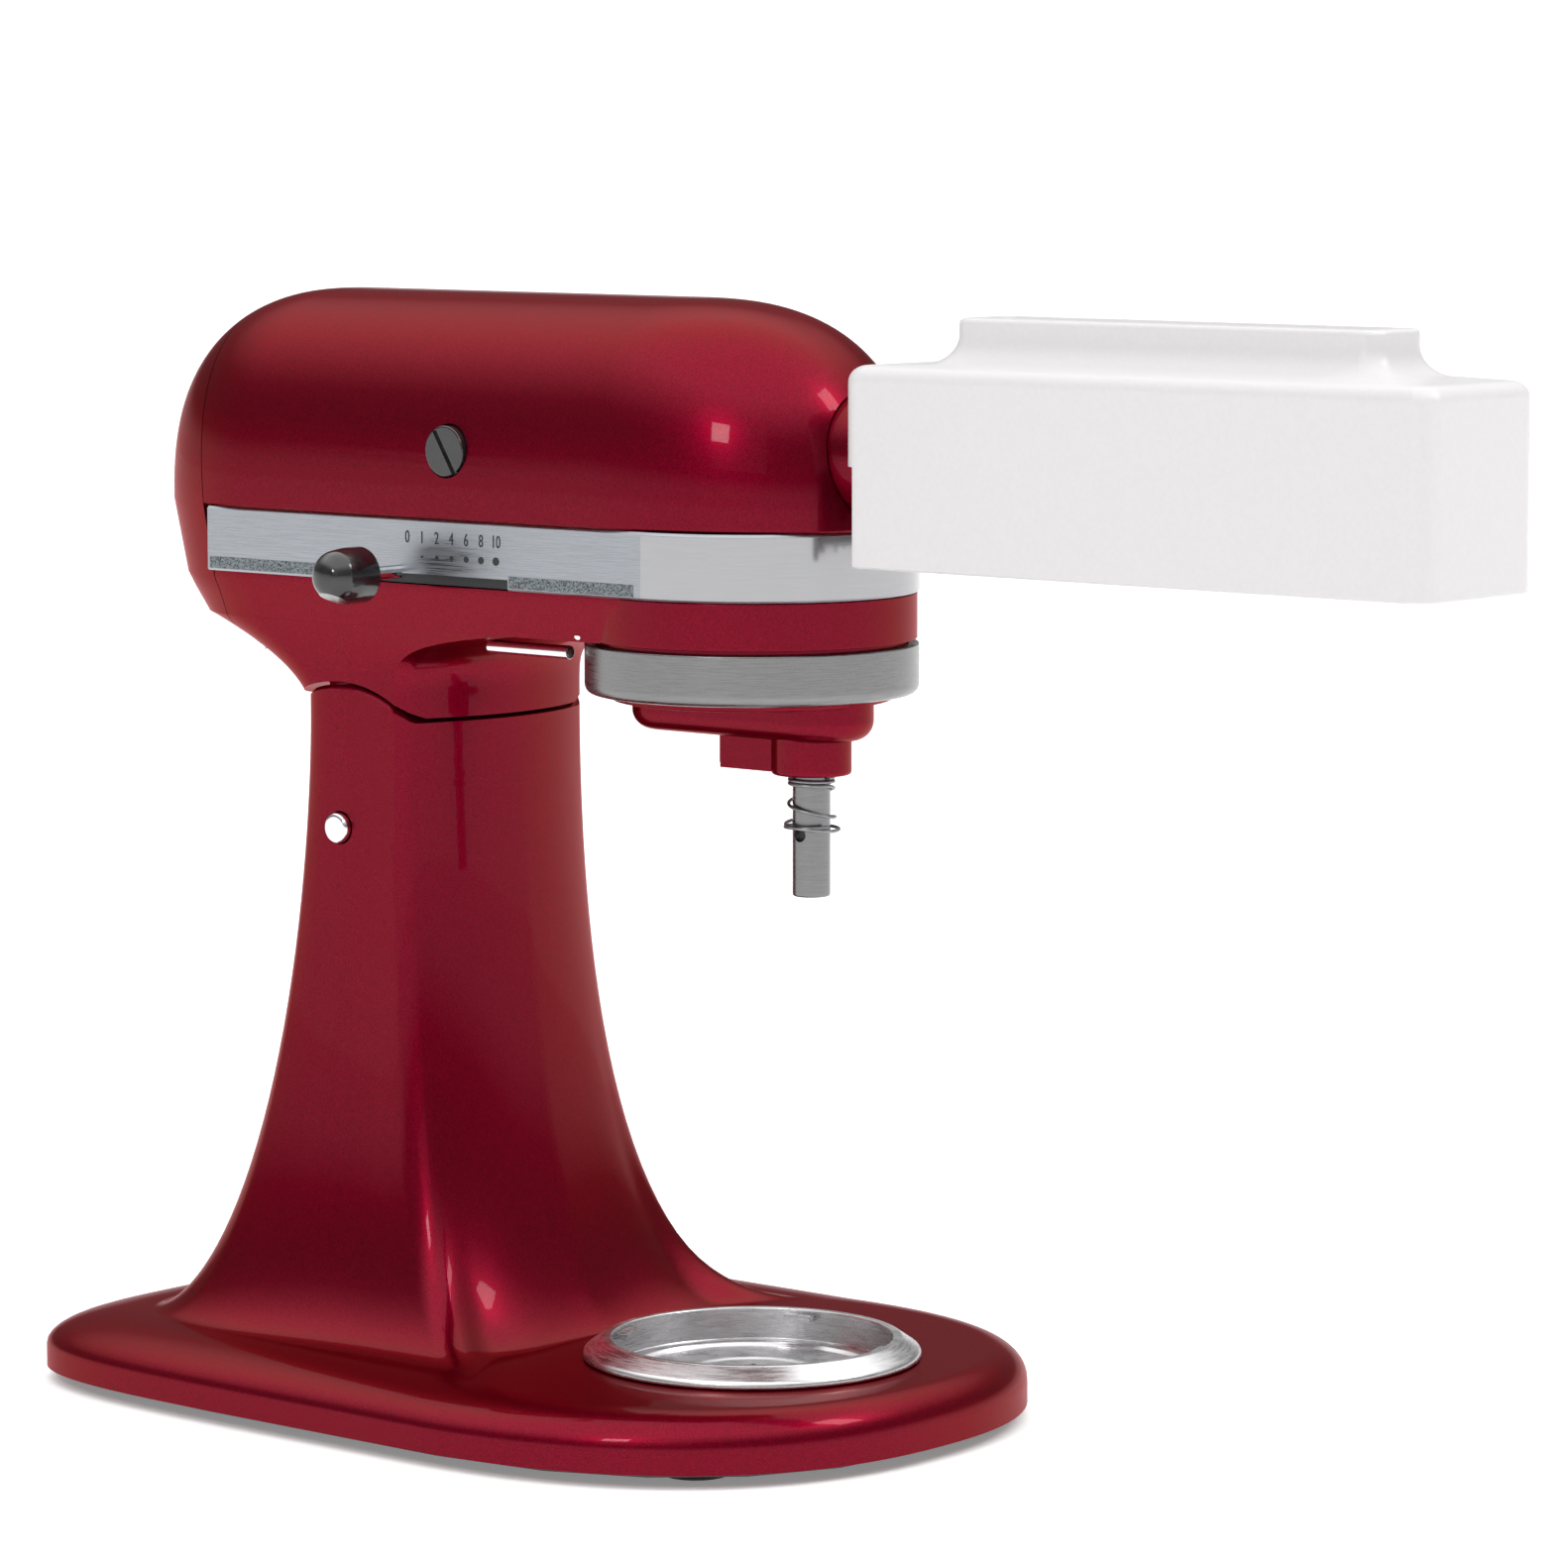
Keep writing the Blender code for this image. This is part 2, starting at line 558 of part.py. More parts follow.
half_width, rear, _ = TRAY_LEVELS[-1]
rim = [(x, y, SEAM - 0.0002) for x, y in tray_outline(half_width, rear, TRAY_WALL_FRONT)]
neck_rings = lower_rings() + [rim]
rear_cover = piece("rear_cover", loft(lower_rings() + crown_rings(0.0)), "red_enamel", head)
cut(rear_cover, rear_cutter(GAP), REAR_JOINT, "INTERSECT")
cut(rear_cover, loft([[(x, y, z + HEAD_WALL) for x, y, z in ring] for ring in lower_rings(HEAD_WALL)]
                     + crown_rings(HEAD_WALL)))
lower_housing = piece("lower_housing", loft(neck_rings), "red_enamel", head)
cut(lower_housing, rod(EAR_RADIUS + 0.0012, -0.07, 0.07, "y", 48), (HINGE_X, 0, HINGE_Z))
cut(lower_housing, rear_cutter(0.0), REAR_JOINT)
front_case = turned([(0, GEARCASE_LOW), (GEARCASE_RADIUS, GEARCASE_LOW),
                     (GEARCASE_RADIUS, GEARCASE_SHOULDER_Z), (GEARCASE_SHOULDER, GEARCASE_SHOULDER_Z),
                     (GEARCASE_SHOULDER, SEAM - 0.0002), (0, SEAM - 0.0002)], "z", 32)
cut(lower_housing, front_case, operation="UNION")
lug_round = [(HINGE_X + LUG_RADIUS * math.cos(math.radians(a)),
              HINGE_Z + LUG_RADIUS * math.sin(math.radians(a))) for a in range(180, 331, 30)]
lug_neck = [(HINGE_X + 0.021, HINGE_Z), (HINGE_X + 0.023, 0.236), (HINGE_X - 0.013, 0.236),
            (HINGE_X - LUG_RADIUS, 0.200)]
lug = prism(lug_round + lug_neck, -LUG_HALF_WIDTH, LUG_HALF_WIDTH, "y")
cut(lower_housing, lug, operation="UNION")
cut(lower_housing, rod(HINGE_PIN_RADIUS + 0.0003, -0.07, 0.07, "y", 16), (HINGE_X, 0, HINGE_Z))
cut(lower_housing, prism(rounded_rectangle(0.102, 0.0450, 0.012, 3, (-0.110, 0)), TRAY_FLOOR, 0.28))
cut(lower_housing, rod(0.0460, TRAY_FLOOR, 0.2800, "z", 32))
cut(lower_housing, rod(RING_GEAR_RADIUS + GAP, 0.20, 0.2486, "z", 32))
cut(lower_housing, rod(CENTRE_SHAFT_RADIUS + 0.0010, 0.20, 0.28, "z", 20))
GLAND_Z = (WIDEST_Z + TRAY_LEVELS[-1][2]) / 2
GLAND_X = TAIL_START - TAIL_LENGTH - GAP
piece("cord_gland", turned([(0, -0.0050), (0.0045, -0.0050), (0.0065, -0.0020), (0.0065, 0.0),
                            (0, 0.0)], "x", 16), "black_rubber", head, (GLAND_X, 0, GLAND_Z))


def band_path(radius, steps=20):
    """The band's plan, from the rear of one side round the nose to the other side."""
    path = [(BAND_REAR, -radius), (-0.10, -radius)]
    path += [(radius * math.sin(math.pi * k / steps), -radius * math.cos(math.pi * k / steps))
             for k in range(steps + 1)]
    return path + [(-0.10, radius), (BAND_REAR, radius)]


band_outline = band_path(BAND_OUT) + band_path(BAND_IN)[::-1]
trim_band = piece("trim_band", prism(band_outline, BAND_LOW, BAND_HIGH - 0.0002), "brushed_steel", head)
cut(trim_band, block((SLOT_LEVER[0], -0.06, 0.25), (SLOT_LEVER[1], -0.04, SLOT_LEVER_TOP)))

drip_profile = [(GEARCASE_RADIUS + 0.0005, DRIP_LOW + 0.0018), (0.0462, DRIP_LOW + 0.0018),
                (0.0462, DRIP_LOW), (DRIP_RADIUS - 0.003, DRIP_LOW),
                (DRIP_RADIUS, DRIP_LOW + 0.003), (DRIP_RADIUS, DRIP_HIGH - 0.0002),
                (GEARCASE_RADIUS + 0.0005, DRIP_HIGH - 0.0002)]
piece("drip_ring", turned(drip_profile, "z", 28), "brushed_steel", head)
ring_outline = tooth_outline(RING_TEETH, MODULE * RING_TEETH / 2, MODULE,
                             0.0, 0.40, internal=True)
ring_gear = piece("ring_gear", rod(RING_GEAR_RADIUS, 0.2385, 0.2480, "z", 24), "dark_steel", head)
cut(ring_gear, toothed(ring_outline, 0.2365, 0.2500))

hub_socket = piece("hub_socket", tube(HUB_RADIUS, HUB_BORE, 0.035, HUB_FRONT, "x", 32),
                   "red_enamel", head, (0, 0, HUB_Z))
cut(hub_socket, rod(0.0034, 0.005, 0.04, "y", 12), (KNOB_X, 0, HUB_Z))

# ------------------------------------------------------------------ motor
STATOR = (-0.166, -0.112)
STATOR_RADIUS, STATOR_BORE = 0.0375, 0.0228
stator = piece("stator", tube(STATOR_RADIUS, STATOR_BORE, *STATOR, "x", 20), "dark_steel", head,
               (0, 0, HUB_Z))
for name, low, high, outer_radius in (("motor_bracket_rear", -0.208, -0.203, 0.026),
                                      ("motor_bracket_front", -0.066, -0.061, 0.030)):
    piece(name, tube(outer_radius, SHAFT_BORE, low, high, "x", 16), "dark_steel", head, (0, 0, HUB_Z))
for side, name in ((1, "left"), (-1, "right")):
    low, high = sorted((side * 0.0118, side * 0.0440))
    piece("brush_holder_" + name, rod(0.0048, low, high, "y", 16), "brass", head, (CAP_X, 0, HUB_Z))
    low, high = sorted((side * 0.0446, side * 0.0532))
    cap = piece("brush_cap_" + name, rod(CAP_RADIUS, low, high, "y", 16, 0.0008), "black_plastic", head,
                (CAP_X, 0, HUB_Z))
    slot = block((-0.0009, -0.002, -0.0095), (0.0009, 0.002, 0.0095))
    slot.transform(Matrix.Rotation(math.radians(-32), 4, "Y"))
    cut(cap, slot, (CAP_X, side * 0.0540, HUB_Z))

rotor = body("rotor", (-0.14, 0, HUB_Z), head)
worm_lead_angle = math.atan(WORM_STARTS * WORM_MODULE / 2 / WORM_RADIUS)
WORM = (LAYSHAFT_X - 0.012, LAYSHAFT_X + 0.012)
worm_outline = [((WORM_RADIUS + r) * math.cos(a), (WORM_RADIUS + r) * math.sin(a))
                for k in range(WORM_STARTS)
                for r, a in ((0.0009, math.pi / 2 * k - 0.28), (0.0009, math.pi / 2 * k + 0.28),
                             (-0.0014, math.pi / 2 * k + 0.60), (-0.0014, math.pi / 2 * k + 0.97))]
# the thread advances WORM_STARTS axial pitches in one turn
worm_twist = 2 * math.pi * (WORM[1] - WORM[0]) / (WORM_STARTS * math.pi * WORM_MODULE)
rotor_shaft = piece("rotor_shaft", rod(SHAFT_RADIUS, -0.212, WORM[0] + 0.003, "x", 16), "dark_steel", rotor,
                    (0, 0, HUB_Z))
cut(rotor_shaft, toothed(worm_outline, -0.012, 0.012, "x", worm_twist, 8), (LAYSHAFT_X, 0, HUB_Z),
    "UNION")
piece("rotor_core",
      tube(STATOR_BORE - 0.0013, SHAFT_BORE, STATOR[0] + 0.004, STATOR[1] - 0.004, "x", 20),
      "copper", rotor, (0, 0, HUB_Z))
piece("commutator", tube(0.0112, SHAFT_BORE, CAP_X - 0.008, CAP_X + 0.008, "x", 16), "copper", rotor,
      (0, 0, HUB_Z))
fan_outline = []
for k in range(8):
    middle = math.pi / 4 * k
    for offset, radius in ((-0.24, 0.012), (-0.16, 0.030), (0.16, 0.030), (0.24, 0.012)):
        fan_outline.append((radius * math.cos(middle + offset), radius * math.sin(middle + offset)))
gear("cooling_fan", fan_outline, -0.194, -0.186, SHAFT_BORE, "nylon", rotor, (0, 0, HUB_Z), "x")

# ------------------------------------------------------------------ gear train
layshaft = body("layshaft", (LAYSHAFT_X, LAYSHAFT_Y, HUB_Z), head)
LAYSHAFT_AT = (LAYSHAFT_X, LAYSHAFT_Y, 0)
wheel_outline = tooth_outline(WORM_WHEEL_TEETH, WHEEL_RADIUS, WORM_MODULE,
                              -math.pi / 2 + math.pi / WORM_WHEEL_TEETH, 0.34)
wheel_twist = 0.007 * math.tan(worm_lead_angle) / WHEEL_RADIUS
gear("worm_wheel", wheel_outline, HUB_Z - 0.0035, HUB_Z + 0.0035, SHAFT_BORE, "nylon", layshaft,
     LAYSHAFT_AT, "z", wheel_twist)
piece("layshaft_rod", rod(SHAFT_RADIUS, 0.2560, 0.3200, "z", 16), "dark_steel", layshaft, LAYSHAFT_AT)
towards_layshaft = math.atan2(LAYSHAFT_Y, LAYSHAFT_X)
pinion_outline = tooth_outline(PINION_TEETH, MODULE * PINION_TEETH / 2, MODULE,
                               towards_layshaft + math.pi + math.pi / PINION_TEETH, 0.38)
gear("spur_pinion", pinion_outline, 0.2725, 0.2842, SHAFT_BORE, "dark_steel", layshaft, LAYSHAFT_AT)

planetary = body("planetary", (0, 0, 0.232), head)
centre_outline = tooth_outline(CENTRE_TEETH, MODULE * CENTRE_TEETH / 2, MODULE, towards_layshaft, 0.38)
CENTRE_BORE = CENTRE_SHAFT_RADIUS + GAP
gear("centre_gear", centre_outline, 0.2745, 0.2820, CENTRE_BORE, "dark_steel", planetary, (0, 0, 0))


def bevel(phase, from_apex):
    """A solid 45-degree bevel gear; heights are measured from the apex."""
    rings = []
    for radius in (BEVEL_RADIUS, BEVEL_RADIUS * 0.70):
        outline = tooth_outline(BEVEL_TEETH, radius - 0.0004, 2 * radius / BEVEL_TEETH * 0.86, phase, 0.36)
        rings.append([(u, v, from_apex * radius) for u, v in outline])
    return loft(rings)


centre_bevel = piece("centre_bevel_gear", bevel(0.0, -1), "dark_steel", planetary, (0, 0, HUB_Z))
cut(centre_bevel, rod(TOP_BORE, -0.03, 0.0, "z", 16), (0, 0, HUB_Z))
piece("centre_shaft", turned([
    (0, 0.2262), (CENTRE_SHAFT_RADIUS, 0.2262), (CENTRE_SHAFT_RADIUS, 0.2840),
    (CENTRE_SHAFT_TOP_RADIUS, 0.2840), (CENTRE_SHAFT_TOP_RADIUS, 0.3010), (0, 0.3010),
], "z", 20), "dark_steel", planetary)
planetary_casting = piece("planetary_casting",
                          tube(ARM_PLATE_RADIUS, CENTRE_BORE, ARM_PLATE_LOW, ARM_PLATE_TOP, "z", 24),
                          "red_enamel", planetary)


def pill(half_length, half_width, steps=4):
    points = []
    for k in range(steps + 1):
        angle = -math.pi / 2 + math.pi * k / steps
        points.append((half_length - half_width + half_width * math.cos(angle),
                       half_width * math.sin(angle)))
    return points + [(-x, -y) for x, y in points]


BEATER_AT = (BEATER_OFFSET, 0, 0)
arm = loft([[(x, y, ARM_LOW + rise) for x, y in pill(ARM_HALF_LENGTH - inset, ARM_HALF_WIDTH - inset)]
            for inset, rise in ((0.006, 0.0), (0.0018, 0.0018), (0.0, 0.0055), (0.0, ARM_SEAT - ARM_LOW))])
cut(planetary_casting, arm, operation="UNION")
boss = turned([(0, BOSS_LOW), (BOSS_RADIUS - 0.0013, BOSS_LOW), (BOSS_RADIUS, BOSS_LOW + 0.0014),
               (BOSS_RADIUS, ARM_SEAT), (0, ARM_SEAT)], "z", 16)
cut(planetary_casting, boss, BEATER_AT, "UNION")
screw_lug = block((-0.0085, -0.0075, BOSS_LOW + 0.0015), (BEATER_OFFSET, 0.0075, 0.2230))
cut(planetary_casting, screw_lug, operation="UNION")
cut(planetary_casting, rod(CENTRE_BORE, 0.2255, 0.2500, "z", 16))
beater_bore = turned([
    (0, 0.19), (BEATER_RADIUS + 0.0005, 0.19), (BEATER_RADIUS + 0.0005, JOURNAL_LOW - 0.0005),
    (JOURNAL_RADIUS + GAP, JOURNAL_LOW - 0.0005), (JOURNAL_RADIUS + GAP, 0.25), (0, 0.25),
], "z", 18)
cut(planetary_casting, beater_bore, BEATER_AT)

beater = body("beater", (BEATER_OFFSET, 0, 0.2), planetary)
PINION_SEAT_RADIUS = 0.0044
beater_shaft = piece("beater_shaft", turned([
    (0, BEATER_LOW), (BEATER_RADIUS - 0.0009, BEATER_LOW), (BEATER_RADIUS, BEATER_LOW + 0.0012),
    (BEATER_RADIUS, JOURNAL_LOW), (JOURNAL_RADIUS, JOURNAL_LOW), (JOURNAL_RADIUS, ARM_PLATE_TOP),
    (PINION_SEAT_RADIUS, ARM_PLATE_TOP), (PINION_SEAT_RADIUS, 0.2478), (0, 0.2478),
], "z", 24), "brushed_steel", beater, BEATER_AT)
cut(beater_shaft, rod(0.0019, -0.01, 0.01, "y", 12), (BEATER_OFFSET, 0, BEATER_PIN_Z))
planet_outline = tooth_outline(PLANET_TEETH, MODULE * PLANET_TEETH / 2, MODULE, 0.0, 0.38)
gear("planet_pinion", planet_outline, 0.2387, 0.2470, PINION_SEAT_RADIUS + GAP, "dark_steel", beater,
     BEATER_AT)


def coil(radius, wire, low, high, turns, steps_per_turn, sides=5):
    """A spring with flat-wound end turns, as a tube swept along a helix."""
    count = int(turns * steps_per_turn)
    rings = []
    for k in range(count + 1):
        share = k / count
        angle = 2 * math.pi * turns * share
        rise = share * share * (3 - 2 * share)
        centre = Vector((radius * math.cos(angle), radius * math.sin(angle), low + (high - low) * rise))
        outward = Vector((math.cos(angle), math.sin(angle), 0))
        rings.append([centre + wire * (outward * math.cos(t) + Vector((0, 0, 1)) * math.sin(t))
                      for t in (2 * math.pi * j / sides for j in range(sides))])
    return loft(rings)


piece("beater_spring", coil(0.0074, 0.0007, 0.1925, 0.2078, 4.5, 9), "dark_steel", beater, BEATER_AT)

hub_drive = body("hub_drive", (0.02, 0, HUB_Z), head)
hub_bevel_mesh = bevel(-math.pi / 2 + math.pi / BEVEL_TEETH, 1)
hub_bevel_mesh.transform(FACING_X)
hub_bevel = piece("hub_bevel_gear", hub_bevel_mesh, "dark_steel", hub_drive, (0, 0, HUB_Z))
cut(hub_bevel, rod(TOP_BORE, 0.0, 0.03, "x", 16), (0, 0, HUB_Z))
SOCKET_RADIUS = 0.0104
hub_drive_socket = piece("hub_drive_socket", turned([
    (0, 0.0110), (CENTRE_SHAFT_TOP_RADIUS, 0.0110), (CENTRE_SHAFT_TOP_RADIUS, 0.0165),
    (SOCKET_RADIUS, 0.0165), (SOCKET_RADIUS, 0.0340), (0, 0.0340),
], "x", 24), "dark_steel", hub_drive, (0, 0, HUB_Z))
cut(hub_drive_socket, block((0.0200, -SQUARE_SOCKET, -SQUARE_SOCKET),
                            (0.0400, SQUARE_SOCKET, SQUARE_SOCKET)), (0, 0, HUB_Z))

hub_knob_body = body("hub_knob", (KNOB_X, 0.04, HUB_Z), head)
piece("hub_knob", turned([(0, 0.0136), (0.0030, 0.0136), (0.0030, 0.0370), (0.0090, 0.0370),
                          (0.0112, 0.0392), (0.0112, 0.0490), (0.0090, 0.0512), (0, 0.0512)], "y", 16),
      "black_plastic", hub_knob_body, (KNOB_X, 0, HUB_Z))

# ------------------------------------------------------------------ levers
SPEED_AT = (-0.102, 0, 0.2687)
LOCK_AT = (-0.094, 0, 0.2565)
speed = body("speed_lever", (SPEED_AT[0], -0.05, SPEED_AT[2]), head)
speed_lever = piece("speed_lever", rod(0.0021, -0.0651, -0.0405, "y", 12), "chrome", speed, SPEED_AT)
cut(speed_lever, block((-0.004, -0.0440, -0.0019), (0.010, -0.0405, 0.0030)), SPEED_AT, "UNION")
piece("speed_knob", turned([(0, -0.0875), (0.0035, -0.0868), (0.0065, -0.0842), (0.0083, -0.0800),
                            (0.0089, -0.0755), (0.0089, -0.0690), (0.0052, -0.0690), (0.0048, -0.0655),
                            (0, -0.0655)], "y", 18), "black_plastic", speed, SPEED_AT)
lock = body("lock_lever", (LOCK_AT[0], 0.05, LOCK_AT[2]), head)
lock_lever = piece("lock_lever", turned([(0, 0.0512), (0.0070, 0.0512), (0.0070, 0.0550), (0, 0.0550)],
                                        "y", 20), "chrome", lock, LOCK_AT)
cut(lock_lever, block((-0.030, 0.0518, -0.0022), (0.0, 0.0544, 0.0022)), LOCK_AT, "UNION")
piece("lock_knob", turned([(0, 0.0547), (0.0042, 0.0547), (0.0075, 0.0600), (0.0085, 0.0680),
                           (0.0070, 0.0740), (0.0035, 0.0765), (0, 0.0768)], "y", 20),
      "black_plastic", lock, (LOCK_AT[0] - 0.0265, 0, LOCK_AT[2]))

# ------------------------------------------------------------------ tenderiser
tenderiser = body("tenderiser", (COVER_REAR, 0, HUB_Z), head)
plate_outline = rounded_rectangle(PLATE_HALF_WIDTH, 0.0245, 0.004, 2, (0, 0.3050))
rear_plate = piece("tenderiser_body", prism(plate_outline, *PLATE, "x"), "white_plastic", tenderiser)
shank = tube(SHANK_RADIUS, SHANK_BORE, SHANK_REAR, (PLATE[0] + PLATE[1]) / 2, "x", 20)
cut(rear_plate, shank, (0, 0, HUB_Z), "UNION")
cut(rear_plate, rod(SHANK_BORE, 0.030, 0.080, "x", 24), (0, 0, HUB_Z))
front_plate = piece("tenderiser_front_plate", prism(plate_outline, *FRONT_PLATE, "x"),
                    "white_plastic", tenderiser)
for side, name in ((1, "left"), (-1, "right")):
    for plate in (rear_plate, front_plate):
        cut(plate, rod(AXLE_RADIUS + 0.0003, 0.06, 0.27, "x", 16), (0, side * ROLLER_Y, ROLLER_Z))
    piece("tie_rod_" + name, rod(0.0022, PLATE[1] + 0.0003, FRONT_PLATE[0] - 0.0003, "x", 12),
          "chrome", tenderiser, (0, side * 0.0200, 0.3230))

blade_pitch = (ROLLER_FRONT - ROLLER_REAR) / BLADES


def blade_start(k, side):
    """Where a roller's blade begins; the second roller's blades stand half a pitch on."""
    return ROLLER_REAR + (k + 0.2 + (0.5 if side > 0 else 0.0)) * blade_pitch


def comb(side):
    """A bar beside a roller with a finger in the middle of each gap between its blades."""
    ends, bar, reach = (PLATE[1] + 0.0003, FRONT_PLATE[0] - 0.0003), 0.0216, 0.0060
    outline = [(ends[0], 0.0246), (ends[0], bar)]
    for k in range(BLADES - 1):
        middle = (blade_start(k, side) + blade_start(k + 1, side) + BLADE_THICKNESS) / 2
        outline += [(middle - 0.003, bar), (middle - 0.002, reach), (middle + 0.002, reach),
                    (middle + 0.003, bar)]
    outline += [(ends[1], bar), (ends[1], 0.0246)]
    return prism([(x, side * y) for x, y in outline], ROLLER_Z - 0.0134, ROLLER_Z - 0.0104)


for side, name in ((1, "left"), (-1, "right")):
    piece("comb_" + name, comb(side), "white_plastic", tenderiser)

attachment_drive = body("attachment_drive", (0.06, 0, HUB_Z), tenderiser)
COLLAR_REAR, COLLAR_FRONT = PLATE[1] + 0.0005, GEAR_PLANE_DRIVE[0] - 0.0005
drive_shaft = piece("attachment_drive_shaft", turned([
    (0, SHANK_REAR + 0.001), (SHANK_BORE - 0.0008, SHANK_REAR + 0.001),
    (SHANK_BORE - 0.0008, COLLAR_REAR), (THRUST_COLLAR_RADIUS, COLLAR_REAR),
    (THRUST_COLLAR_RADIUS, COLLAR_FRONT), (SHAFT_RADIUS, COLLAR_FRONT), (SHAFT_RADIUS, 0.0865),
    (0, 0.0865),
], "x", 20), "dark_steel", attachment_drive, (0, 0, HUB_Z))
cut(drive_shaft, block((0.0215, -SQUARE_TIP, -SQUARE_TIP), (0.0400, SQUARE_TIP, SQUARE_TIP)),
    (0, 0, HUB_Z), "UNION")
towards_roller = math.atan2(ROLLER_Z - HUB_Z, -ROLLER_Y)
drive_outline = tooth_outline(DRIVE_GEAR_TEETH, ROLLER_MODULE * DRIVE_GEAR_TEETH / 2, ROLLER_MODULE,
                              towards_roller + math.pi / DRIVE_GEAR_TEETH, 0.38)
gear("drive_gear", drive_outline, *GEAR_PLANE_DRIVE, SHAFT_BORE, "dark_steel", attachment_drive,
     (0, 0, HUB_Z), "x")


def toothed_roller(side):
    """Blade discs and spacers on one sleeve; the two rollers' discs interleave."""
    sides = 2 * BLADE_TEETH

    def ring(x, tip, notch=1.0):
        points = []
        for k in range(sides):
            radius = tip * (notch if k % 2 else 1.0)
            angle = 2 * math.pi * k / sides
            points.append((x, radius * math.cos(angle), radius * math.sin(angle)))
        return points

    rings = [ring(ROLLER_REAR, ROLLER_CORE)]
    for k in range(BLADES):
        start = blade_start(k, side)
        end = start + BLADE_THICKNESS
        rings += [ring(start, ROLLER_CORE), ring(start, ROLLER_RADIUS, 0.84),
                  ring(end, ROLLER_RADIUS, 0.84), ring(end, ROLLER_CORE)]
    rings += [ring(ROLLER_FRONT + 0.002, ROLLER_CORE), ring(ROLLER_FRONT + 0.002, AXLE_BORE),
              ring(ROLLER_REAR, AXLE_BORE)]
    return loft(rings, closed=True)


for side, name in ((-1, "a"), (1, "b")):
    carrier = body("roller_" + name, (0.09, side * ROLLER_Y, ROLLER_Z), tenderiser)
    at = (0, side * ROLLER_Y, ROLLER_Z)
    piece("roller_axle_" + name, rod(AXLE_RADIUS, PLATE[0] + 0.0005, FRONT_PLATE[1] - 0.0005, "x", 16),
          "chrome", carrier, at)
    piece("roller_blades_" + name, toothed_roller(side), "brushed_steel", carrier, at)
    if side < 0:
        # gear a meshes with the drive gear above it and with gear b beside it
        step = 2 * math.pi / ROLLER_GEAR_TEETH
        phase, planes = towards_roller + math.pi, (GEAR_PLANE_DRIVE[0], GEAR_PLANE_PAIR[1])
        beside = round((0 - phase) / step)
        gap_to_b = phase + beside * step
    else:
        phase, planes = math.pi - gap_to_b + math.pi / ROLLER_GEAR_TEETH, GEAR_PLANE_PAIR
    outline = tooth_outline(ROLLER_GEAR_TEETH, ROLLER_MODULE * ROLLER_GEAR_TEETH / 2,
                            ROLLER_MODULE * 0.85, phase, 0.38)
    gear("roller_gear_" + name, outline, *planes, AXLE_BORE, "nylon", carrier, at, "x")

cover = body("feed_cover", (0.16, 0, COVER_TOP), tenderiser)
cover_middle = (COVER_REAR + COVER_FRONT) / 2
cover_half = (COVER_FRONT - COVER_REAR) / 2


def box_ring(inset, z, radius, centre=(cover_middle, 0), half=(cover_half, COVER_HALF_WIDTH)):
    return [(x, y, z) for x, y in rounded_rectangle(half[0] - inset, half[1] - inset,
                                                    max(radius - inset * 0.5, 0.0015), 3, centre)]


slot_middle = ((SLOT_REAR + SLOT_FRONT) / 2, 0)
slot_half = ((SLOT_FRONT - SLOT_REAR) / 2, SLOT_HALF_WIDTH)


def collar_ring(grow, z, radius):
    return [(x, y, z) for x, y in rounded_rectangle(slot_half[0] + grow, slot_half[1] + grow, radius, 3,
                                                    slot_middle)]


cover_outside = [box_ring(0, COVER_LOW, CORNER), box_ring(0, COVER_TOP - 0.005, CORNER),
                 box_ring(0.0013, COVER_TOP - 0.0018, CORNER), box_ring(0.0050, COVER_TOP, CORNER),
                 collar_ring(0.0120, COVER_TOP + 0.0010, 0.008),
                 collar_ring(0.0080, COVER_TOP + 0.0045, 0.007),
                 collar_ring(0.0065, COLLAR_TOP - 0.0020, 0.006),
                 collar_ring(0.0045, COLLAR_TOP, 0.005)]
cover_inside = [collar_ring(0.0, COLLAR_TOP, 0.003), collar_ring(0.0, COVER_TOP - COVER_WALL, 0.003),
                box_ring(COVER_WALL, COVER_TOP - COVER_WALL, CORNER), box_ring(COVER_WALL, COVER_LOW, CORNER)]
feed_cover = piece("feed_cover", loft(cover_outside + cover_inside, closed=True), "white_plastic", cover)
cut(feed_cover, block((COVER_REAR - 0.01, -0.04, COVER_LOW - 0.01), (COVER_REAR + 0.0050, 0.04, 0.307)))
# a notch over the shank, as wide as the hub's bore needs
NOTCH = SHANK_RADIUS + 0.0011
cut(feed_cover, block((COVER_REAR - 0.01, -NOTCH, COVER_LOW - 0.01),
                      (COVER_REAR + 0.0120, NOTCH, HUB_Z + NOTCH)))

# ------------------------------------------------------------------ origin
# half way between the foot's rear edge and the feed cover's front
machine.location = (-(FOOT_REAR + COVER_FRONT) / 2, 0, 0)
bpy.context.view_layer.update()
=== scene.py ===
"""The looks of the tilt-head stand mixer and its meat tenderiser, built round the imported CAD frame.

Metres, +Z up, +X towards the drive hub. Shapes are modelled about the bowl's axis, and place()
moves each one to where the frame has that axis.
"""

import json
import math

import bmesh
import bpy
from mathutils import Matrix, Vector


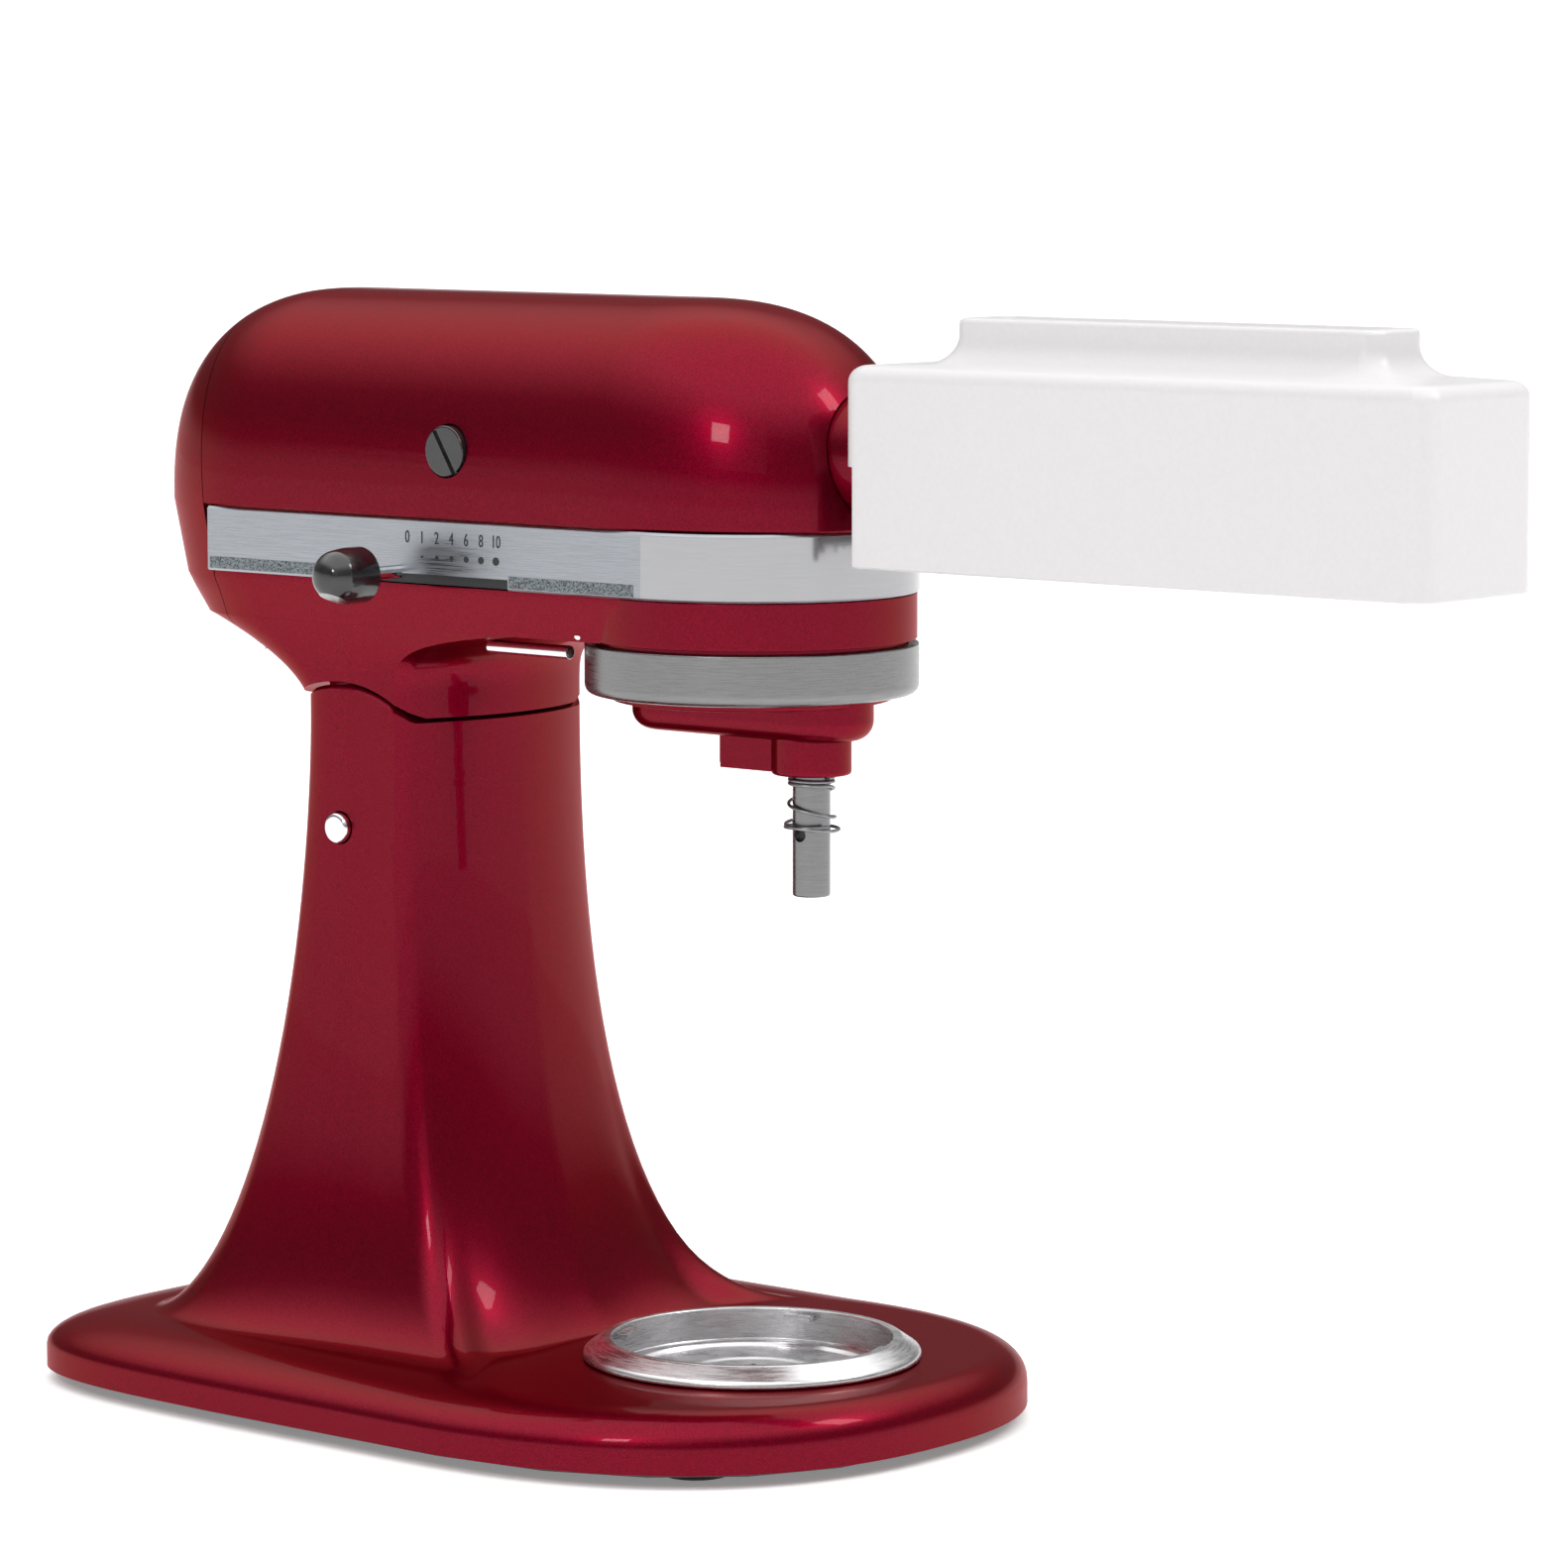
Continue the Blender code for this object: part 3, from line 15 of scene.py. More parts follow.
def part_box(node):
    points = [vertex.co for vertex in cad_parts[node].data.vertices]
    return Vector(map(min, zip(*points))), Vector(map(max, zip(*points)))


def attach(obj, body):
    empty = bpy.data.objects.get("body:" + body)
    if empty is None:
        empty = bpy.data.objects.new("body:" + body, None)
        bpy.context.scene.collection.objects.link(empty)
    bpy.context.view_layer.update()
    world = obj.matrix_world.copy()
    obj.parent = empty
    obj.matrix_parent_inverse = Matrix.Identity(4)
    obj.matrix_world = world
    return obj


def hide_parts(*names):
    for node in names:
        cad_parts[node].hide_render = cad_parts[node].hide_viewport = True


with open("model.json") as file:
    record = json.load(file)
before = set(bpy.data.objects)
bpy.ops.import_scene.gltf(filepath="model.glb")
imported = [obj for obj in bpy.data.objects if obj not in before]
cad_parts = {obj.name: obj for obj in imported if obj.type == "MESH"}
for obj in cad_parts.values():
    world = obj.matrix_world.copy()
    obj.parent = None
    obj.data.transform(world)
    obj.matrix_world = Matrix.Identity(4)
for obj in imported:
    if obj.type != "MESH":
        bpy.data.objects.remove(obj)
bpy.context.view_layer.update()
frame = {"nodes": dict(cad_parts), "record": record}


def middle(node):
    low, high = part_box(node)
    return (low + high) / 2


# ---------- dimensions from the frame
BOWL_X = middle("drip_ring").x  # the bowl's axis
HUB_Z = middle("hub_drive_socket").z  # the hub's and the motor's axis
HINGE_X, HINGE_Z = middle("hinge_pin").x - BOWL_X, middle("hinge_pin").z
HEAD_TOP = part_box("upper_housing")[1].z
BAND_LOW, BAND_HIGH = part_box("trim_band")[0].z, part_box("trim_band")[1].z
BAND_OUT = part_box("trim_band")[1].y
BAND_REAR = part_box("trim_band")[0].x - BOWL_X
DRIP_LOW, DRIP_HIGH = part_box("drip_ring")[0].z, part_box("drip_ring")[1].z
DRIP_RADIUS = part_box("drip_ring")[1].x - BOWL_X
FOOT_REAR, FOOT_FRONT = (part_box("stand_casting")[k].x - BOWL_X for k in (0, 1))
COVER_REAR, COVER_FRONT = (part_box("feed_cover")[k].x - BOWL_X for k in (0, 1))
COVER_LOW, COLLAR_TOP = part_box("feed_cover")[0].z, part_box("feed_cover")[1].z
COVER_HALF_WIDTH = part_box("feed_cover")[1].y
SHAFT_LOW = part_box("beater_shaft")[0].z
CAP_X = middle("brush_cap_left").x - BOWL_X
BEATER_X = middle("planet_pinion").x - BOWL_X
HUB_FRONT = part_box("hub_socket")[1].x - BOWL_X
ROLLER_Z = middle("roller_blades_a").z
ROLLER_Y = middle("roller_blades_b").y

# ---------- the same sizes as in the frame
GAP = 0.0004  # between neighbouring parts
THROUGH = 0.07  # a cross bore's cutter reaches this far to each side

FOOT_TOP, FOOT_UNDERSIDE, RIM_RADIUS = 0.0225, 0.0045, 0.011
REAR_RIM = 0.026  # the rim slopes over this width at the sides and rear
FOOT_HALF_WIDTH, FOOT_CENTRE = 0.110, -0.052
FOOT_FRONT_CURVE, FOOT_REAR_CURVE = 2.35, 6.0  # exponents of its superellipse
COLUMN_REAR, COLUMN_CENTRE, COLUMN_FRONT = -0.158, -0.134, -0.098
COLUMN_HALF_WIDTH, COLUMN_TOP, COLUMN_REAR_CURVE = 0.044, 0.2195, 4.5
COLUMN_EDGE, COLUMN_CORNER = (-0.1085, 0.0405), (-0.1125, 0.0436)  # ends of its corner facet
COLUMN_LIP = 0.0012  # the soft edge round the column's top
STAND_WALL, EAR_RADIUS, PIN_RADIUS = 0.0045, 0.046, 0.005
FLARE_STEPS, RIM_STEPS = 44, 10
FLARE_END, FLARE_POWER, FLARE_POWER_DROP, FLARE_BLEND = 0.96, 4.2, 0.9, 0.9
FRONT_END, FRONT_END_GAIN, VALLEY_GAIN = 0.24, 0.36, 0.36
FRONT_POWER, FRONT_POWER_GAIN, VALLEY_POWER_GAIN = 3.2, 0.4, 0.6
VALLEY_START, VALLEY_CURVE = 0.70, 2.2
BOWL_RECESS = 0.0477

HEAD_HALF_WIDTH, HEAD_WALL = 0.053, 0.0035
NOSE_START, NOSE_LENGTH, TAIL_START, TAIL_LENGTH = -0.025, 0.078, -0.168, 0.064
PLAN_CURVE, CROWN_CURVE, NOSE_CURVE, TAIL_CURVE = 2.3, 2.5, 2.6, 2.25
CROWN_STEPS, CROWN_END = 36, 0.975  # the last ring is this share of the way to the crown
WIDEST_Z = BAND_HIGH + 0.0008
SKIRT_INSET, LIP_INSET = 0.0035, 0.0006
CASE_RADIUS, DRIP_SEAT_RADIUS, CASE_LOW, CASE_STEP_Z = 0.0516, 0.0485, 0.238, 0.2502
HUB_RADIUS, HUB_BORE, HUB_REAR = 0.0200, 0.0132, 0.035
BRUSH_BORE = 0.0085
BAND_THICKNESS = 0.0014
SLOT_REAR, SLOT_FRONT, SLOT_HIGH = -0.112, -0.055, 0.2684  # the speed lever's slot
REAR_JOINT = (-0.192, 0, 0.307)  # a point on the rear cover's joint, which leans back
REAR_LEAN = math.radians(6)
TRAY_HALF_WIDTH, TRAY_REAR, TRAY_FRONT, TRAY_Z = 0.0465, -0.2175, -0.0560, 0.2500
TRAY_SIDE_END = -0.13  # behind this the tray's sides begin to close
TRAY_WALL_FRONT = -0.004  # the tray's side walls end inside the gearcase
# half width, rear, height
TRAY_LEVELS = ((TRAY_HALF_WIDTH, TRAY_REAR, TRAY_Z + 0.0002), (0.0485, -0.2235, 0.2575),
               (0.0505, -0.2262, 0.2625))
NECK_LOW = COLUMN_TOP + 0.0010
NECK_STEPS, NECK_POWER, ARCH_POWER, NECK_BLEND = 40, 1.85, 6.0, 0.6
FEED_REAR, FEED_FRONT, FEED_HALF_WIDTH = 0.096, 0.236, 0.0065
COVER_TOP, COVER_WALL = 0.3375, 0.0020

STAND_POINTS = 168  # a multiple of 28, so that a point falls on the ridge
HEAD_POINTS = 144
RIDGE = 2 * math.pi * 5 / 28  # where the side flare's front edge leaves the column
RIDGE_ON_FOOT = math.radians(86)
FACET_START = 28 / 30  # the facet begins at this share of the ridge's angle
ROUND_OFF = 0.001  # lets an angle that is meant to be on an edge count

# ---------- materials


def principled(name, colour, roughness, metallic=0.0, coat=0.0):
    """A Principled material with its constant values on the shader's own sockets."""
    made = bpy.data.materials.new(name)
    made.use_nodes = True
    shader = made.node_tree.nodes["Principled BSDF"]
    shader.inputs["Base Color"].default_value = (*colour, 1)
    shader.inputs["Roughness"].default_value = roughness
    shader.inputs["Metallic"].default_value = metallic
    shader.inputs["Coat Weight"].default_value = coat
    shader.inputs["Coat Roughness"].default_value = 0.04
    return made, shader


def noise(material, scale, stretch=(1, 1, 1), detail=3.0):
    """A noise texture in the object's own coordinates; stretch multiplies each axis."""
    nodes, links = material.node_tree.nodes, material.node_tree.links
    coordinates = nodes.new("ShaderNodeTexCoord")
    mapping = nodes.new("ShaderNodeMapping")
    mapping.inputs["Scale"].default_value = stretch
    texture = nodes.new("ShaderNodeTexNoise")
    texture.inputs["Scale"].default_value = scale
    texture.inputs["Detail"].default_value = detail
    links.new(coordinates.outputs["Object"], mapping.inputs["Vector"])
    links.new(mapping.outputs["Vector"], texture.inputs["Vector"])
    return texture.outputs["Fac"]


def ramp(material, source, low, high):
    """Maps a noise value to colours between low and high."""
    node = material.node_tree.nodes.new("ShaderNodeValToRGB")
    for element, position, colour in zip(node.color_ramp.elements, (0.35, 0.65), (low, high)):
        element.position = position
        element.color = (*colour, 1)
    material.node_tree.links.new(source, node.inputs["Fac"])
    return node.outputs["Color"]


def spread(material, source, low, high):
    """Maps a value from 0.3-0.7 to a number between low and high."""
    node = material.node_tree.nodes.new("ShaderNodeMapRange")
    node.inputs["From Min"].default_value, node.inputs["From Max"].default_value = 0.3, 0.7
    node.inputs["To Min"].default_value, node.inputs["To Max"].default_value = low, high
    material.node_tree.links.new(source, node.inputs["Value"])
    return node.outputs["Result"]


def bump(material, shader, source, strength, distance):
    node = material.node_tree.nodes.new("ShaderNodeBump")
    node.inputs["Strength"].default_value = strength
    node.inputs["Distance"].default_value = distance
    material.node_tree.links.new(source, node.inputs["Height"])
    material.node_tree.links.new(node.outputs["Normal"], shader.inputs["Normal"])


def textured(name, colour, roughness, metallic=0.0, coat=0.0, scale=400.0, stretch=(1, 1, 1),
             vary=0.12, rough_vary=0.06, relief=0.00002, detail=3.0):
    """A finish whose colour, roughness and fine relief all follow one noise.

    vary is the colour's share of change, and rough_vary the roughness's change, to each side.
    """
    made, shader = principled(name, colour, roughness, metallic, coat)
    source = noise(made, scale, stretch, detail)
    darker = tuple(c * (1 - vary) for c in colour)
    lighter = tuple(min(1.0, c * (1 + vary)) for c in colour)
    links = made.node_tree.links
    links.new(ramp(made, source, darker, lighter), shader.inputs["Base Color"])
    links.new(spread(made, source, roughness - rough_vary, roughness + rough_vary),
              shader.inputs["Roughness"])
    bump(made, shader, source, 0.25, relief)
    return made


def candy_enamel():
    """Metallic red under a clear coat: fine flake, and a faint orange peel in the coat."""
    deep, bright, tint = (0.12, 0.0002, 0.007), (0.21, 0.0009, 0.018), (0.75, 0.01, 0.05, 1)
    smoothest, roughest, flake_scale, peel_scale, peel_depth = 0.30, 0.40, 2600.0, 90.0, 0.0002
    made, shader = principled("candy_enamel", bright, smoothest, metallic=0.88, coat=0.18)
    shader.inputs["Specular Tint"].default_value = tint
    links = made.node_tree.links
    flake = noise(made, flake_scale, detail=1.0)
    links.new(ramp(made, flake, deep, bright), shader.inputs["Base Color"])
    links.new(spread(made, flake, smoothest, roughest), shader.inputs["Roughness"])
    bump(made, shader, noise(made, peel_scale, detail=1.0), 0.05, peel_depth)
    return made


FINISH = {
    "red_enamel": candy_enamel(),
    # painted dark reflection: brushed_steel's base colour is lowered to 0.20, so the drip ring, beater shaft
    # and blades show a dark reflection in their colour
    "brushed_steel": textured("satin_steel_painted_dark_reflection", (0.20, 0.20, 0.20), 0.30, 1.0,
                              scale=60.0, stretch=(2, 2, 45), vary=0.10),
    "chrome": textured("chrome_plate", (0.78, 0.78, 0.80), 0.09, 1.0, scale=120.0, vary=0.04,
                       rough_vary=0.03, relief=0.000005),
    "dark_steel": textured("oiled_steel", (0.26, 0.26, 0.27), 0.42, 1.0, scale=500.0),
    "black_plastic": textured("black_gloss_plastic", (0.010, 0.010, 0.011), 0.16, 0.0, 0.4,
                              scale=300.0, vary=0.3, rough_vary=0.04, relief=0.00001),
    "black_rubber": textured("rubber_feet", (0.018, 0.018, 0.018), 0.75, scale=900.0,
                             vary=0.3, relief=0.00008),
    "white_plastic": textured("white_moulding", (0.60, 0.588, 0.590), 0.38, scale=700.0,
                              vary=0.012, rough_vary=0.04, relief=0.00002),
    "nylon": textured("natural_nylon", (0.72, 0.69, 0.58), 0.50, scale=350.0, vary=0.04),
    "brass": textured("machined_brass", (0.66, 0.46, 0.17), 0.30, 1.0, scale=250.0),
    "copper": textured("copper_bars", (0.62, 0.24, 0.11), 0.34, 1.0, scale=250.0,
                       stretch=(1, 12, 12)),
}
BAND_BRUSHED = textured("brushed_band", (0.33, 0.345, 0.37), 0.32, 1.0, scale=70.0,
                        stretch=(1.2, 1.2, 60), vary=0.12, rough_vary=0.08, relief=0.00003)
BAND_POLISHED = textured("polished_band", (0.37, 0.37, 0.38), 0.17, 1.0, scale=70.0,
                         stretch=(1.2, 1.2, 60), vary=0.05, rough_vary=0.05, relief=0.000008)
BAND_GRAIN = textured("grained_strip", (0.16, 0.18, 0.19), 0.55, 0.8, scale=1700.0,
                      vary=0.75, rough_vary=0.2, relief=0.0001, detail=2.0)
# the same satin steel without the painted dark reflection, at a lighter base colour, for the bowl plate
PLATE_SATIN = textured("plate_satin", (0.66, 0.65, 0.66), 0.28, 1.0,
                       scale=60.0, stretch=(2, 2, 45), vary=0.10)
INK = textured("dial_ink", (0.012, 0.012, 0.013), 0.5, scale=900.0, vary=0.3)

for node_name, node_object in frame["nodes"].items():
    for part in frame["record"]["subparts"]:
        if part["node"] == node_name:
            node_object.material_slots[0].material = FINISH[part["material_slot"]]

# ---------- mesh helpers


def along(axis):
    """The turn that takes +Z to the named axis."""
    turns = {
        "z": Matrix.Identity(4),
        "x": Matrix.Rotation(math.pi / 2, 4, "Y"),
        "y": Matrix.Rotation(-math.pi / 2, 4, "X"),
    }
    return turns[axis]


def loft(rings, closed=False):
    """Joins rings of points, all with the same count, and caps the ends unless they meet."""
    mesh = bmesh.new()
    made = [[mesh.verts.new(point) for point in ring] for ring in rings]
    count = len(made[0])
    for first, second in list(zip(made, made[1:])) + ([(made[-1], made[0])] if closed else []):
        for k in range(count):
            after = (k + 1) % count
            mesh.faces.new((first[k], first[after], second[after], second[k]))
    if not closed:
        mesh.faces.new(made[0])
        mesh.faces.new(made[-1])
    return mesh


def softened(corners, steps=6):
    """An outline from (u, v, radius) corners, with each corner of some radius rounded."""
    # a corner with no radius stays sharp
    points = []
    for k, (u, v, radius) in enumerate(corners):
        here = Vector((u, v))
        if radius <= 0:
            points.append(here)
            continue
        before = Vector(corners[k - 1][:2]) - here
        after = Vector(corners[(k + 1) % len(corners)][:2]) - here
        start, end = here + before.normalized() * radius, here + after.normalized() * radius
        for step in range(steps + 1):
            t = step / steps
            points.append(start * (1 - t) ** 2 + here * 2 * t * (1 - t) + end * t ** 2)
    return [(p.x, p.y) for p in points]


def turned(corners, axis="z", sides=96, steps=6):
    """A solid of revolution from (radius, height, rounding) corners."""
    mesh = bmesh.new()
    rings = []
    for radius, height in softened(corners, steps):
        if radius < 1e-7:
            rings.append([mesh.verts.new((0, 0, height))] * sides)
            continue
        turns = [2 * math.pi * k / sides for k in range(sides)]
        rings.append([mesh.verts.new((radius * math.cos(t), radius * math.sin(t), height))
                      for t in turns])
    for first, second in zip(rings, rings[1:] + rings[:1]):
        for k in range(sides):
            after = (k + 1) % sides
            corners_here = list(dict.fromkeys((first[k], first[after], second[after], second[k])))
            if len(corners_here) > 2:
                mesh.faces.new(corners_here)
    mesh.transform(along(axis))
    return mesh


def rod(radius, low, high, axis="z", sides=64, soft=0.0):
    return turned([(0, low, 0), (radius, low, soft), (radius, high, soft), (0, high, 0)], axis, sides)


def prism(outline, low, high, axis="z"):
    """Extrudes a flat outline: (x, y) along z, (x, z) along y or (y, z) along x."""
    def point(u, v, w):
        return {"z": (u, v, w), "y": (u, w, v), "x": (w, u, v)}[axis]
    return loft([[point(u, v, w) for u, v in outline] for w in (low, high)])


def block(low, high):
    return prism([(low[0], low[1]), (high[0], low[1]), (high[0], high[1]), (low[0], high[1])],
                 low[2], high[2])


def place(name, mesh, finish, at=(0, 0, 0)):
    """Makes an object from a bmesh, whose points are relative to at, about the bowl's axis."""
    bmesh.ops.recalc_face_normals(mesh, faces=mesh.faces)
    data = bpy.data.meshes.new(name)
    mesh.to_mesh(data)
    mesh.free()
    data.materials.append(finish)
    made = bpy.data.objects.new(name, data)
    bpy.context.scene.collection.objects.link(made)
    made.location = (at[0] + BOWL_X, at[1], at[2])
    return made


def carve(target, mesh, at=(0, 0, 0), operation="DIFFERENCE"):
    """Cuts a bmesh out of an object, or joins it to it, and keeps the result."""
    tool = place("tool", mesh, target.data.materials[0], at)
    modifier = target.modifiers.new("boolean", "BOOLEAN")
    modifier.operation, modifier.object, modifier.solver = operation, tool, "EXACT"
    bpy.context.view_layer.update()
    graph = bpy.context.evaluated_depsgraph_get()
    result = bpy.data.meshes.new_from_object(target.evaluated_get(graph))
    target.modifiers.clear()
    target.data = result
    bpy.data.objects.remove(tool)


SHARP_ANGLE = math.radians(32)


def show(made, body, replaces=()):
    """Shades an object, ties it to its CAD body and hides the nodes that it stands for."""
    made.data.shade_smooth()
    made.data.set_sharp_from_angle(angle=SHARP_ANGLE)
    weighted = made.modifiers.new("normals", "WEIGHTED_NORMAL")
    weighted.keep_sharp = True
    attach(made, body)
    if replaces:
        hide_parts(*replaces)


def super_wave(angle, exponent):
    """(cos, sin) of the angle, pushed out from the unit circle to a superellipse."""
    def shaped(value):
        return math.copysign(abs(value) ** (2 / exponent), value)
    return shaped(math.cos(angle)), shaped(math.sin(angle))


def rounded_rectangle(half_x, half_y, radius, centre):
    steps = 10
    points = []
    for side_x, side_y, start in ((1, 1, 0), (-1, 1, 90), (-1, -1, 180), (1, -1, 270)):
        for k in range(steps + 1):
            angle = math.radians(start + 90 * k / steps)
            points.append((centre[0] + side_x * (half_x - radius) + radius * math.cos(angle),
                           centre[1] + side_y * (half_y - radius) + radius * math.sin(angle)))
    return points


# ---------- stand


def cornered_outline(front, edge, corner, centre, half_width, rear_point, inset):
    """Plan with a broad front, a narrow facet at each front corner and straight sides.

    The facet runs from edge to corner; rear_point gives the plan behind the sides by its angle.
    """
    ring = []
    for k in range(STAND_POINTS):
        turn = 2 * math.pi * k / STAND_POINTS
        angle = min(turn, 2 * math.pi - turn)
        share = angle / RIDGE
        if share <= FACET_START:
            x = front + (edge[0] - front) * (share / FACET_START) ** 2 - inset
            y = edge[1] * share / FACET_START
        elif share < 1 + ROUND_OFF:
            step = (share - FACET_START) / (1 - FACET_START)
            x = edge[0] + (corner[0] - edge[0]) * step - inset
            y = edge[1] + (corner[1] - edge[1]) * step
        elif angle < math.pi / 2 + ROUND_OFF:
            step = (angle - RIDGE) / (math.pi / 2 - RIDGE)
            x = corner[0] + (centre - corner[0]) * step - inset * (1 - step)
            y = corner[1] + (half_width - corner[1]) * step
        else:
            x, y = rear_point(angle)
        side = 1 if turn <= math.pi else -1
        ring.append((x, side * y * (1 - inset / half_width)))
    return ring


def column_outline(inset=0.0):
    """Plan of the column: flat sides, a broad convex front and a round rear."""
    def rear_point(angle):
        wave_x, wave_y = super_wave(angle, COLUMN_REAR_CURVE)
        return (COLUMN_CENTRE + (COLUMN_CENTRE - COLUMN_REAR - inset) * wave_x,
                COLUMN_HALF_WIDTH * wave_y)
    return cornered_outline(COLUMN_FRONT, COLUMN_EDGE, COLUMN_CORNER, COLUMN_CENTRE,
                            COLUMN_HALF_WIDTH, rear_point, inset)


def foot_outline(inset=0.0, rear_inset=0.0):
    """Plan of the foot: wide and round at the front, square at the rear.

    rear_inset is added to the inset at the sides and rear.
    """
    points = []
    for k in range(STAND_POINTS):
        turn = 2 * math.pi * k / STAND_POINTS
        angle = min(turn, 2 * math.pi - turn)
        if angle < RIDGE:
            angle *= RIDGE_ON_FOOT / RIDGE
        else:
            angle = math.pi - (math.pi - angle) * (math.pi - RIDGE_ON_FOOT) / (math.pi - RIDGE)
        wave_x, wave_y = super_wave(angle, FOOT_FRONT_CURVE if angle < math.pi / 2 else FOOT_REAR_CURVE)
        inwards = inset + rear_inset * min(1.0, angle / RIDGE_ON_FOOT) ** 3
        reach = (FOOT_FRONT - FOOT_CENTRE if wave_x > 0 else FOOT_CENTRE - FOOT_REAR) - inwards
        side = 1 if turn <= math.pi else -1
        points.append((FOOT_CENTRE + reach * wave_x, side * (FOOT_HALF_WIDTH - inwards) * wave_y))
    return points


def flare_shape(k):
    """How far towards the foot's edge the flare ends, and how sharply it bends.

    In front of the ridge a narrow valley runs down beside it.
    """
    turn = 2 * math.pi * k / STAND_POINTS
    angle = min(turn, 2 * math.pi - turn)
    if angle >= RIDGE - 1e-6:
        return FLARE_END, FLARE_POWER - FLARE_POWER_DROP * min(1.0, (angle - RIDGE) / FLARE_BLEND)
    share = angle / RIDGE
    valley = max(0.0, (share - VALLEY_START) / (1 - VALLEY_START)) ** VALLEY_CURVE
    end = FRONT_END + FRONT_END_GAIN * share ** VALLEY_CURVE + VALLEY_GAIN * valley
    return end, FRONT_POWER + FRONT_POWER_GAIN * share + VALLEY_POWER_GAIN * valley


def column_top(x):
    """The column's top edge: flat at the front, and a round about the hinge at the rear."""
    reach = x - HINGE_X
    if abs(reach) >= EAR_RADIUS:
        return COLUMN_TOP
    return max(COLUMN_TOP, HINGE_Z + math.sqrt(EAR_RADIUS ** 2 - reach ** 2))


def stand_rings(inset):
    """Rings from the column's top edge, down its flare and round the foot's rim."""
    column = column_outline(inset)
    foot = foot_outline(inset + RIM_RADIUS, REAR_RIM - RIM_RADIUS)
    edge = foot_outline(inset)
    outside = inset == 0
    low = FOOT_TOP - inset
    rings = []
    for step in range(FLARE_STEPS + 1):
        angle = math.pi / 2 * step / FLARE_STEPS
        ring = []
        for k, ((cx, cy), (fx, fy)) in enumerate(zip(column, foot)):
            end, power = flare_shape(k)
            out, up = end * math.sin(angle) ** power, math.cos(angle) ** power
            ring.append((cx + (fx - cx) * out, cy + (fy - cy) * out, low + (COLUMN_TOP - low) * up))
        rings.append(ring)
    rings[0] = [(x, y, column_top(x) - COLUMN_LIP) for x, y, _ in rings[0]]
    lip = column_outline(inset + (COLUMN_LIP if outside else -COLUMN_LIP / 6))
    below = 0.0 if outside else COLUMN_LIP / 2
    rings.insert(0, [(x, y, column_top(x) - below) for x, y in lip])
    for step in range(RIM_STEPS + 1):
        angle = math.pi / 2 * step / RIM_STEPS
        rings.append([(fx + (ex - fx) * math.sin(angle), fy + (ey - fy) * math.sin(angle),
                       low - RIM_RADIUS * (1 - math.cos(angle)))
                      for (fx, fy), (ex, ey) in zip(foot, edge)])
    rings.append([(x, y, FOOT_UNDERSIDE) for x, y in edge])
    return rings


def make_stand():
    fork_half_width, fork_floor, behind, above = 0.0362, 0.171, -0.18, 0.26
    recess_floor, over_the_foot = 0.010, 0.060
    rings = stand_rings(0.0) + stand_rings(STAND_WALL)[::-1]
    made = place("stand_body", loft(rings, closed=True), FINISH["red_enamel"])
    carve(made, rod(PIN_RADIUS + GAP, -THROUGH, THROUGH, "y", 48), (HINGE_X, 0, HINGE_Z))
    carve(made, block((behind, -fork_half_width, fork_floor), (HINGE_X, fork_half_width, above)))
    carve(made, rod(BOWL_RECESS, recess_floor, over_the_foot, "z", 128))
    show(made, "stand", ["stand_casting"])


def make_bowl_plate():
    """Satin ring with a conical lip, a stepped dish inside and four bayonet lugs."""
    floor = FOOT_TOP - 0.0055
    first_step, second_step = floor + 0.0006, floor + 0.0018
    top, lip = FOOT_TOP + 0.0065, FOOT_TOP + 0.0022
    flange, wall, socket = 0.0535, 0.0465, 0.0445
    under = floor - 0.0020
    profile = [
        (0, floor, 0), (0.020, floor, 0.001), (0.022, first_step, 0.001),
        (0.0375, first_step, 0.001), (0.0395, second_step, 0.0006), (socket, second_step, 0.0005),
        (socket, top, 0.0006), (0.0472, top, 0.0006), (flange, lip, 0.0012),
        (flange, FOOT_TOP + GAP, 0.0004), (wall, FOOT_TOP + GAP, 0), (wall, under, 0.0006), (0, under, 0),
    ]
    show(place("bowl_ring", turned(profile, "z", 160), PLATE_SATIN), "stand", ["bowl_plate"])
    lugs, first_turn, lug_half_width = 4, 20, 0.0052
    for k in range(lugs):
        lug = block((0.0405, -lug_half_width, FOOT_TOP + 0.0030),
                    (0.0448, lug_half_width, FOOT_TOP + 0.0052))
        bmesh.ops.bevel(lug, geom=lug.edges[:], offset=0.0006, segments=2, affect="EDGES")
        lug.transform(Matrix.Rotation(math.radians(first_turn + 360 / lugs * k), 4, "Z"))
        show(place("bowl_lug_%d" % k, lug, PLATE_SATIN), "stand")
    screw_profile = [(0, 0.0003, 0), (0.0055, 0.0003, 0.0002), (0.0052, 0.0020, 0.0012), (0, 0.0027, 0)]
    screw = place("bowl_screw_head", turned(screw_profile, "z", 48), FINISH["chrome"], (0, 0, floor))
    for turn in (25, 115):
        slot = block((-0.0028, -0.0005, 0.0016), (0.0028, 0.0005, 0.004))
        slot.transform(Matrix.Rotation(math.radians(turn), 4, "Z"))
        carve(screw, slot, (0, 0, floor))
    show(screw, "stand", ["bowl_plate_screw"])


def make_hinge_pin():
    half = COLUMN_HALF_WIDTH + 0.003
    pin = rod(PIN_RADIUS, -half, half, "y", 64, soft=0.0016)
    show(place("hinge_pin_fine", pin, FINISH["chrome"], (HINGE_X, 0, HINGE_Z)), "stand",
         ["hinge_pin"])


make_stand()
make_bowl_plate()
make_hinge_pin()

# ---------- motor head


